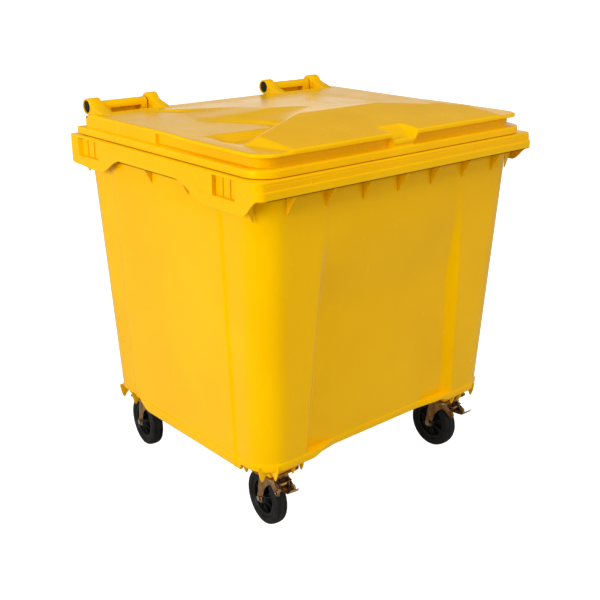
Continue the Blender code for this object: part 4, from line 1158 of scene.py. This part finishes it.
def brake_bracket():
    """Two cheeks round the pedal's pin, a rolled eye on each leg and a stay across them."""
    outline = soften([
        (-0.030, 0.2140), (-0.030, 0.1860), (-0.044, 0.1800),
        (-0.060, 0.1840), (-0.0640, 0.1960), (-0.056, 0.2110),
    ])
    face = LEG_X[1] - 0.0008
    eye = [
        (0.0050, face), (0.0108, face), (0.0108, face + 0.0042),
        (0.0100, face + 0.0052), (0.0062, face + 0.0052), (0.0050, face + 0.0040),
    ]
    parts = []
    for sign, _ in SIDES:
        cheek = prism("cheek", outline, "X", *side_span(sign, 0.0165, 0.0190), BRONZE)
        drill(cheek, "X", -0.05, 0.05, 0.0046, 20, BRAKE_PIVOT)
        round_edges(cheek, 0.0007, 2, 40)
        boss = lathe("boss", [(radius, sign * place) for radius, place in eye], BRONZE, 32)
        boss.data.transform(Matrix.Translation(CHEEK_BOSS))
        parts += [cheek, boss]
    stay = soften([(-0.030, 0.2105), (-0.062, 0.2085), (-0.062, 0.2065), (-0.030, 0.2080)], 1)
    return [*parts, prism("stay", stay, "X", -0.0300, 0.0300, BRONZE, 0.0006, 2)]


def make_fork(name, braked):
    outline = rectangle(-LEG_X[1], LEG_X[1], -0.036, 0.037)
    crown = prism("crown", outline, "Z", CROWN_Z[0], CROWN_Z[1] - 0.0015, BRONZE)
    drill(crown, "Z", 0.19, 0.24, 0.0070, 24)
    round_edges(crown, 0.0028, 4, 40)
    race = [
        (0.0072, 0.2060), (0.0395, 0.2060), (0.0400, 0.2080), (0.0392, 0.2168), (0.0365, 0.2190),
        (0.0310, 0.2212), (0.0240, 0.2205), (0.0200, 0.2180), (0.0072, 0.2175),
    ]
    parts = [*fork_legs(braked), crown, upright(lathe("race", race, BRONZE, 64))]
    if braked:
        parts += brake_bracket()
    fork = join(f"fork_{name}_visual", parts)
    fork.matrix_world = castor_matrix(name)
    ride(fork, f"swivel_{name}", f"fork_{name}")


def make_tyre(name):
    """Solid tyre: moulding rings on the walls and two grooves near each edge of the tread."""
    side = [
        (0.0723, 0.0205), (0.0738, 0.0222), (0.0750, 0.0232), (0.0764, 0.0232), (0.0772, 0.0222),
        (0.0784, 0.0222), (0.0792, 0.0234), (0.0830, 0.0239), (0.0880, 0.0240), (0.0900, 0.0236),
        (0.0906, 0.0226), (0.0916, 0.0226), (0.0924, 0.0229), (0.0946, 0.0216), (0.0964, 0.0196),
        (0.0978, 0.0172), (0.0984, 0.0150), (0.0974, 0.0144), (0.0974, 0.0128), (0.0990, 0.0122),
        (0.0994, 0.0100), (0.0984, 0.0094), (0.0984, 0.0078), (0.0998, 0.0072), (0.1000, 0.0030),
    ]
    tyre = lathe(f"tyre_{name}_visual", both_ends(side), RUBBER, 128, 32)
    tyre.matrix_world = castor_matrix(name, TRAIL, WHEEL_RADIUS)
    ride(tyre, f"wheel_{name}", f"tyre_{name}")


def make_wheel(name):
    """Moulded wheel centre: hub, thin web, spokes on each side and a stepped rim."""
    side = [
        (0.0101, 0.0262), (0.0150, 0.0262), (0.0165, 0.0256), (0.0205, 0.0236), (0.0225, 0.0200),
        (0.0240, 0.0050), (0.0260, 0.0030), (0.0560, 0.0030), (0.0580, 0.0044), (0.0595, 0.0150),
        (0.0600, 0.0176), (0.0612, 0.0186), (0.0640, 0.0190), (0.0655, 0.0182), (0.0668, 0.0182),
        (0.0680, 0.0196), (0.0712, 0.0196), (0.0720, 0.0186),
    ]
    spoke_outline = [
        (0.0200, 0.002), (0.0590, 0.002), (0.0590, 0.0140),
        (0.0500, 0.0150), (0.0330, 0.0190), (0.0200, 0.0215),
    ]
    swap_x_and_z = Matrix(((0, 0, 1, 0), (0, 1, 0, 0), (1, 0, 0, 0), (0, 0, 0, 1)))
    parts = [lathe("centre", both_ends(side), BLACK, 96, 32)]
    for index in range(SPOKES):
        turn = Matrix.Rotation(math.tau * (index + 0.5) / SPOKES, 4, "X")
        for sign, _ in SIDES:
            outline = [(out, sign * across) for out, across in spoke_outline]
            spoke = prism("spoke", outline, "Y", -0.0018, 0.0018, BLACK, 0.0007, 2)
            spoke.data.transform(turn @ swap_x_and_z)
            parts.append(spoke)
    wheel = join(f"wheel_rim_{name}_visual", parts)
    wheel.matrix_world = castor_matrix(name, TRAIL, WHEEL_RADIUS)
    ride(wheel, f"wheel_{name}", f"wheel_rim_{name}")


def make_pedal(name):
    """Two dark cheeks with a bridge, a plated eye round the pin and a thin upturned lip."""
    cheek = soften([
        (0.006, -0.006), (0.007, 0.010), (-0.002, 0.026), (-0.013, 0.031), (-0.004, 0.018),
        (-0.0060, 0.009), (-0.0180, -0.005), (-0.0220, -0.011), (-0.010, -0.012),
    ])
    parts = [
        prism("pedal_cheek", cheek, "X", *side_span(sign, 0.0130, 0.0155), BLACK, 0.0007, 2)
        for sign, _ in SIDES
    ]
    bridge_outline = soften([(-0.002, 0.0245), (-0.013, 0.0300), (-0.014, 0.0275), (-0.003, 0.0220)], 1)
    parts.append(prism("bridge", bridge_outline, "X", -0.0135, 0.0135, BLACK, 0.0007, 2))
    lip = [
        (0.004, -0.0075), (-0.016, -0.0105), (-0.036, -0.0090), (-0.053, -0.0060),
        (-0.0640, 0.0030), (-0.0735, 0.0155), (-0.0750, 0.0150), (-0.0655, 0.0012),
        (-0.054, -0.0078), (-0.036, -0.0107), (-0.016, -0.0122), (0.004, -0.0092),
    ]
    eye = [
        (0.0046, -0.0128), (0.0072, -0.0128), (0.0080, -0.0120),
        (0.0080, 0.0120), (0.0072, 0.0128), (0.0046, 0.0128),
    ]
    node = f"brake_pedal_{name}"
    cheeks = join(f"{node}_cheeks", parts)
    others = [
        prism(f"{node}_lip", lip, "X", -0.0170, 0.0170, BRONZE, 0.0004, 2),
        lathe(f"{node}_eye", eye, BRONZE, 32),
    ]
    for piece, replaced in ((cheeks, [node]), *((other, []) for other in others)):
        piece.matrix_world = castor_matrix(name, *BRAKE_PIVOT)
        ride(piece, f"pedal_{name}", *replaced)


def make_shoe(name):
    outline = soften([
        (-0.004, -0.003), (-0.0065, -0.017), (-0.0100, -0.034), (-0.0060, -0.034),
        (-0.002, -0.018), (0.004, -0.004), (0.004, 0.004), (-0.004, 0.004),
    ])
    shoe = prism(f"brake_shoe_{name}_visual", outline, "X", -0.0130, 0.0130, BRONZE, 0.0008, 2)
    shoe.matrix_world = castor_matrix(name, *SHOE_PIVOT)
    ride(shoe, f"shoe_{name}", f"brake_shoe_{name}")


# CAD nodes that stay: their finish and the width of the rounding on their edges.
KEPT = {
    "castor_plate": (BRONZE, 0.0008), "kingpin": (BRONZE, 0.0005), "mounting_bolt": (ZINC, 0.0006),
    "axle_bolt": (ZINC, 0.0008), "axle_nut": (ZINC, 0.0006), "axle_bush": (ZINC, 0.0004),
    "brake_pin": (ZINC, 0.0006), "drain_plug": (BLACK, 0.0012),
}


def finish_kept_nodes():
    for name, node in frame["nodes"].items():
        for label, (material, width) in KEPT.items():
            if not name.startswith(label):
                continue
            node.data.materials.clear()
            node.data.materials.append(material)
            add_bevel(node, width, 3, 32)


# ---------------------------------------------------------------------------
# the object
# ---------------------------------------------------------------------------
make_body()
side_beads()
pocket_strips()
rim_ribs()
hinge_bars()
castor_bosses()
make_lid()
knuckles()
hinge_pins()
for castor, (_, braked) in CASTORS.items():
    make_fork(castor, braked)
    make_wheel(castor)
    make_tyre(castor)
    if braked:
        make_pedal(castor)
        make_shoe(castor)
finish_kept_nodes()


# ---------------------------------------------------------------------------
# floor, light and camera
# ---------------------------------------------------------------------------
def pale_floor():
    """A wide pale floor with a trace of grain, bright enough to read as a white sweep."""
    n = Nodes("pale_floor")
    seen = n.new("ShaderNodeLightPath").outputs["Is Camera Ray"]
    n.set(
        Base_Color=n.mix(n.noise(14.0, 4.0), (0.50, 0.50, 0.50), (0.54, 0.54, 0.54)),
        Roughness=0.9, Specular_IOR_Level=0.0, Emission_Color=(1.0, 1.0, 1.0, 1.0),
        Emission_Strength=n.remap(seen, 0.0, 1.0, FLOOR_BOUNCE, FLOOR_SEEN),
    )
    mesh = bpy.data.meshes.new("floor")
    corners = rectangle(-FLOOR_HALF, FLOOR_HALF, -FLOOR_HALF, FLOOR_HALF)
    mesh.from_pydata([(x, y, 0.0) for x, y in corners], [], [(0, 1, 2, 3)])
    mesh.materials.append(n.material)
    floor = bpy.data.objects.new("floor", mesh)
    bpy.context.scene.collection.objects.link(floor)


def studio_world():
    """An even white room; what gloss picks up from it is bright low down and dark overhead."""
    world = bpy.data.worlds.new("studio")
    bpy.context.scene.world = world
    world.use_nodes = True
    world.cycles.sampling_method = "NONE"
    tree = world.node_tree
    place = tree.nodes.new("ShaderNodeTexCoord")
    split = tree.nodes.new("ShaderNodeSeparateXYZ")
    ramp = tree.nodes.new("ShaderNodeValToRGB")
    path = tree.nodes.new("ShaderNodeLightPath")
    choice = tree.nodes.new("ShaderNodeMix")
    seen = tree.nodes.new("ShaderNodeMath")
    seen.operation = "MAXIMUM"
    tree.links.new(place.outputs["Generated"], split.inputs[0])
    tree.links.new(split.outputs["Z"], ramp.inputs[0])
    for _ in ROOM_BANDS[2:]:
        ramp.color_ramp.elements.new(0.5)
    for element, (height, glow) in zip(ramp.color_ramp.elements, ROOM_BANDS):
        element.position = height
        element.color = (glow, glow, glow, 1.0)
    tree.links.new(path.outputs["Is Glossy Ray"], choice.inputs[0])
    choice.inputs[2].default_value = ROOM_GLOW
    tree.links.new(ramp.outputs["Color"], choice.inputs[3])
    glow = tree.nodes["Background"]
    glow.inputs["Color"].default_value = (1.0, 1.0, 1.0, 1.0)
    tree.links.new(choice.outputs[0], seen.inputs[0])
    tree.links.new(path.outputs["Is Camera Ray"], seen.inputs[1])
    tree.links.new(seen.outputs[0], glow.inputs["Strength"])


def soft_light(name, place, target, size, power):
    data = bpy.data.lights.new(name, "AREA")
    data.shape = "RECTANGLE"
    data.size, data.size_y = size
    data.energy = power
    lamp = bpy.data.objects.new(name, data)
    lamp.location = place
    lamp.rotation_euler = (Vector(target) - Vector(place)).to_track_quat("-Z", "Y").to_euler()
    bpy.context.scene.collection.objects.link(lamp)


def photo_camera():
    data = bpy.data.cameras.new("photo_camera")
    data.sensor_width = CAMERA_SENSOR
    data.lens = CAMERA_LENS
    data.clip_end = 400.0
    camera = bpy.data.objects.new("photo_camera", data)
    camera.location = CAMERA_PLACE
    level = math.cos(CAMERA_ELEVATION)
    back = Vector((
        math.sin(CAMERA_AZIMUTH) * level, -math.cos(CAMERA_AZIMUTH) * level, math.sin(CAMERA_ELEVATION),
    ))
    camera.rotation_euler = back.to_track_quat("Z", "Y").to_euler()
    bpy.context.scene.collection.objects.link(camera)
    bpy.context.scene.camera = camera


pale_floor()
studio_world()
for light, settings in LIGHTS.items():
    soft_light(light, *settings)
photo_camera()
bpy.context.scene.view_settings.view_transform = "Standard"
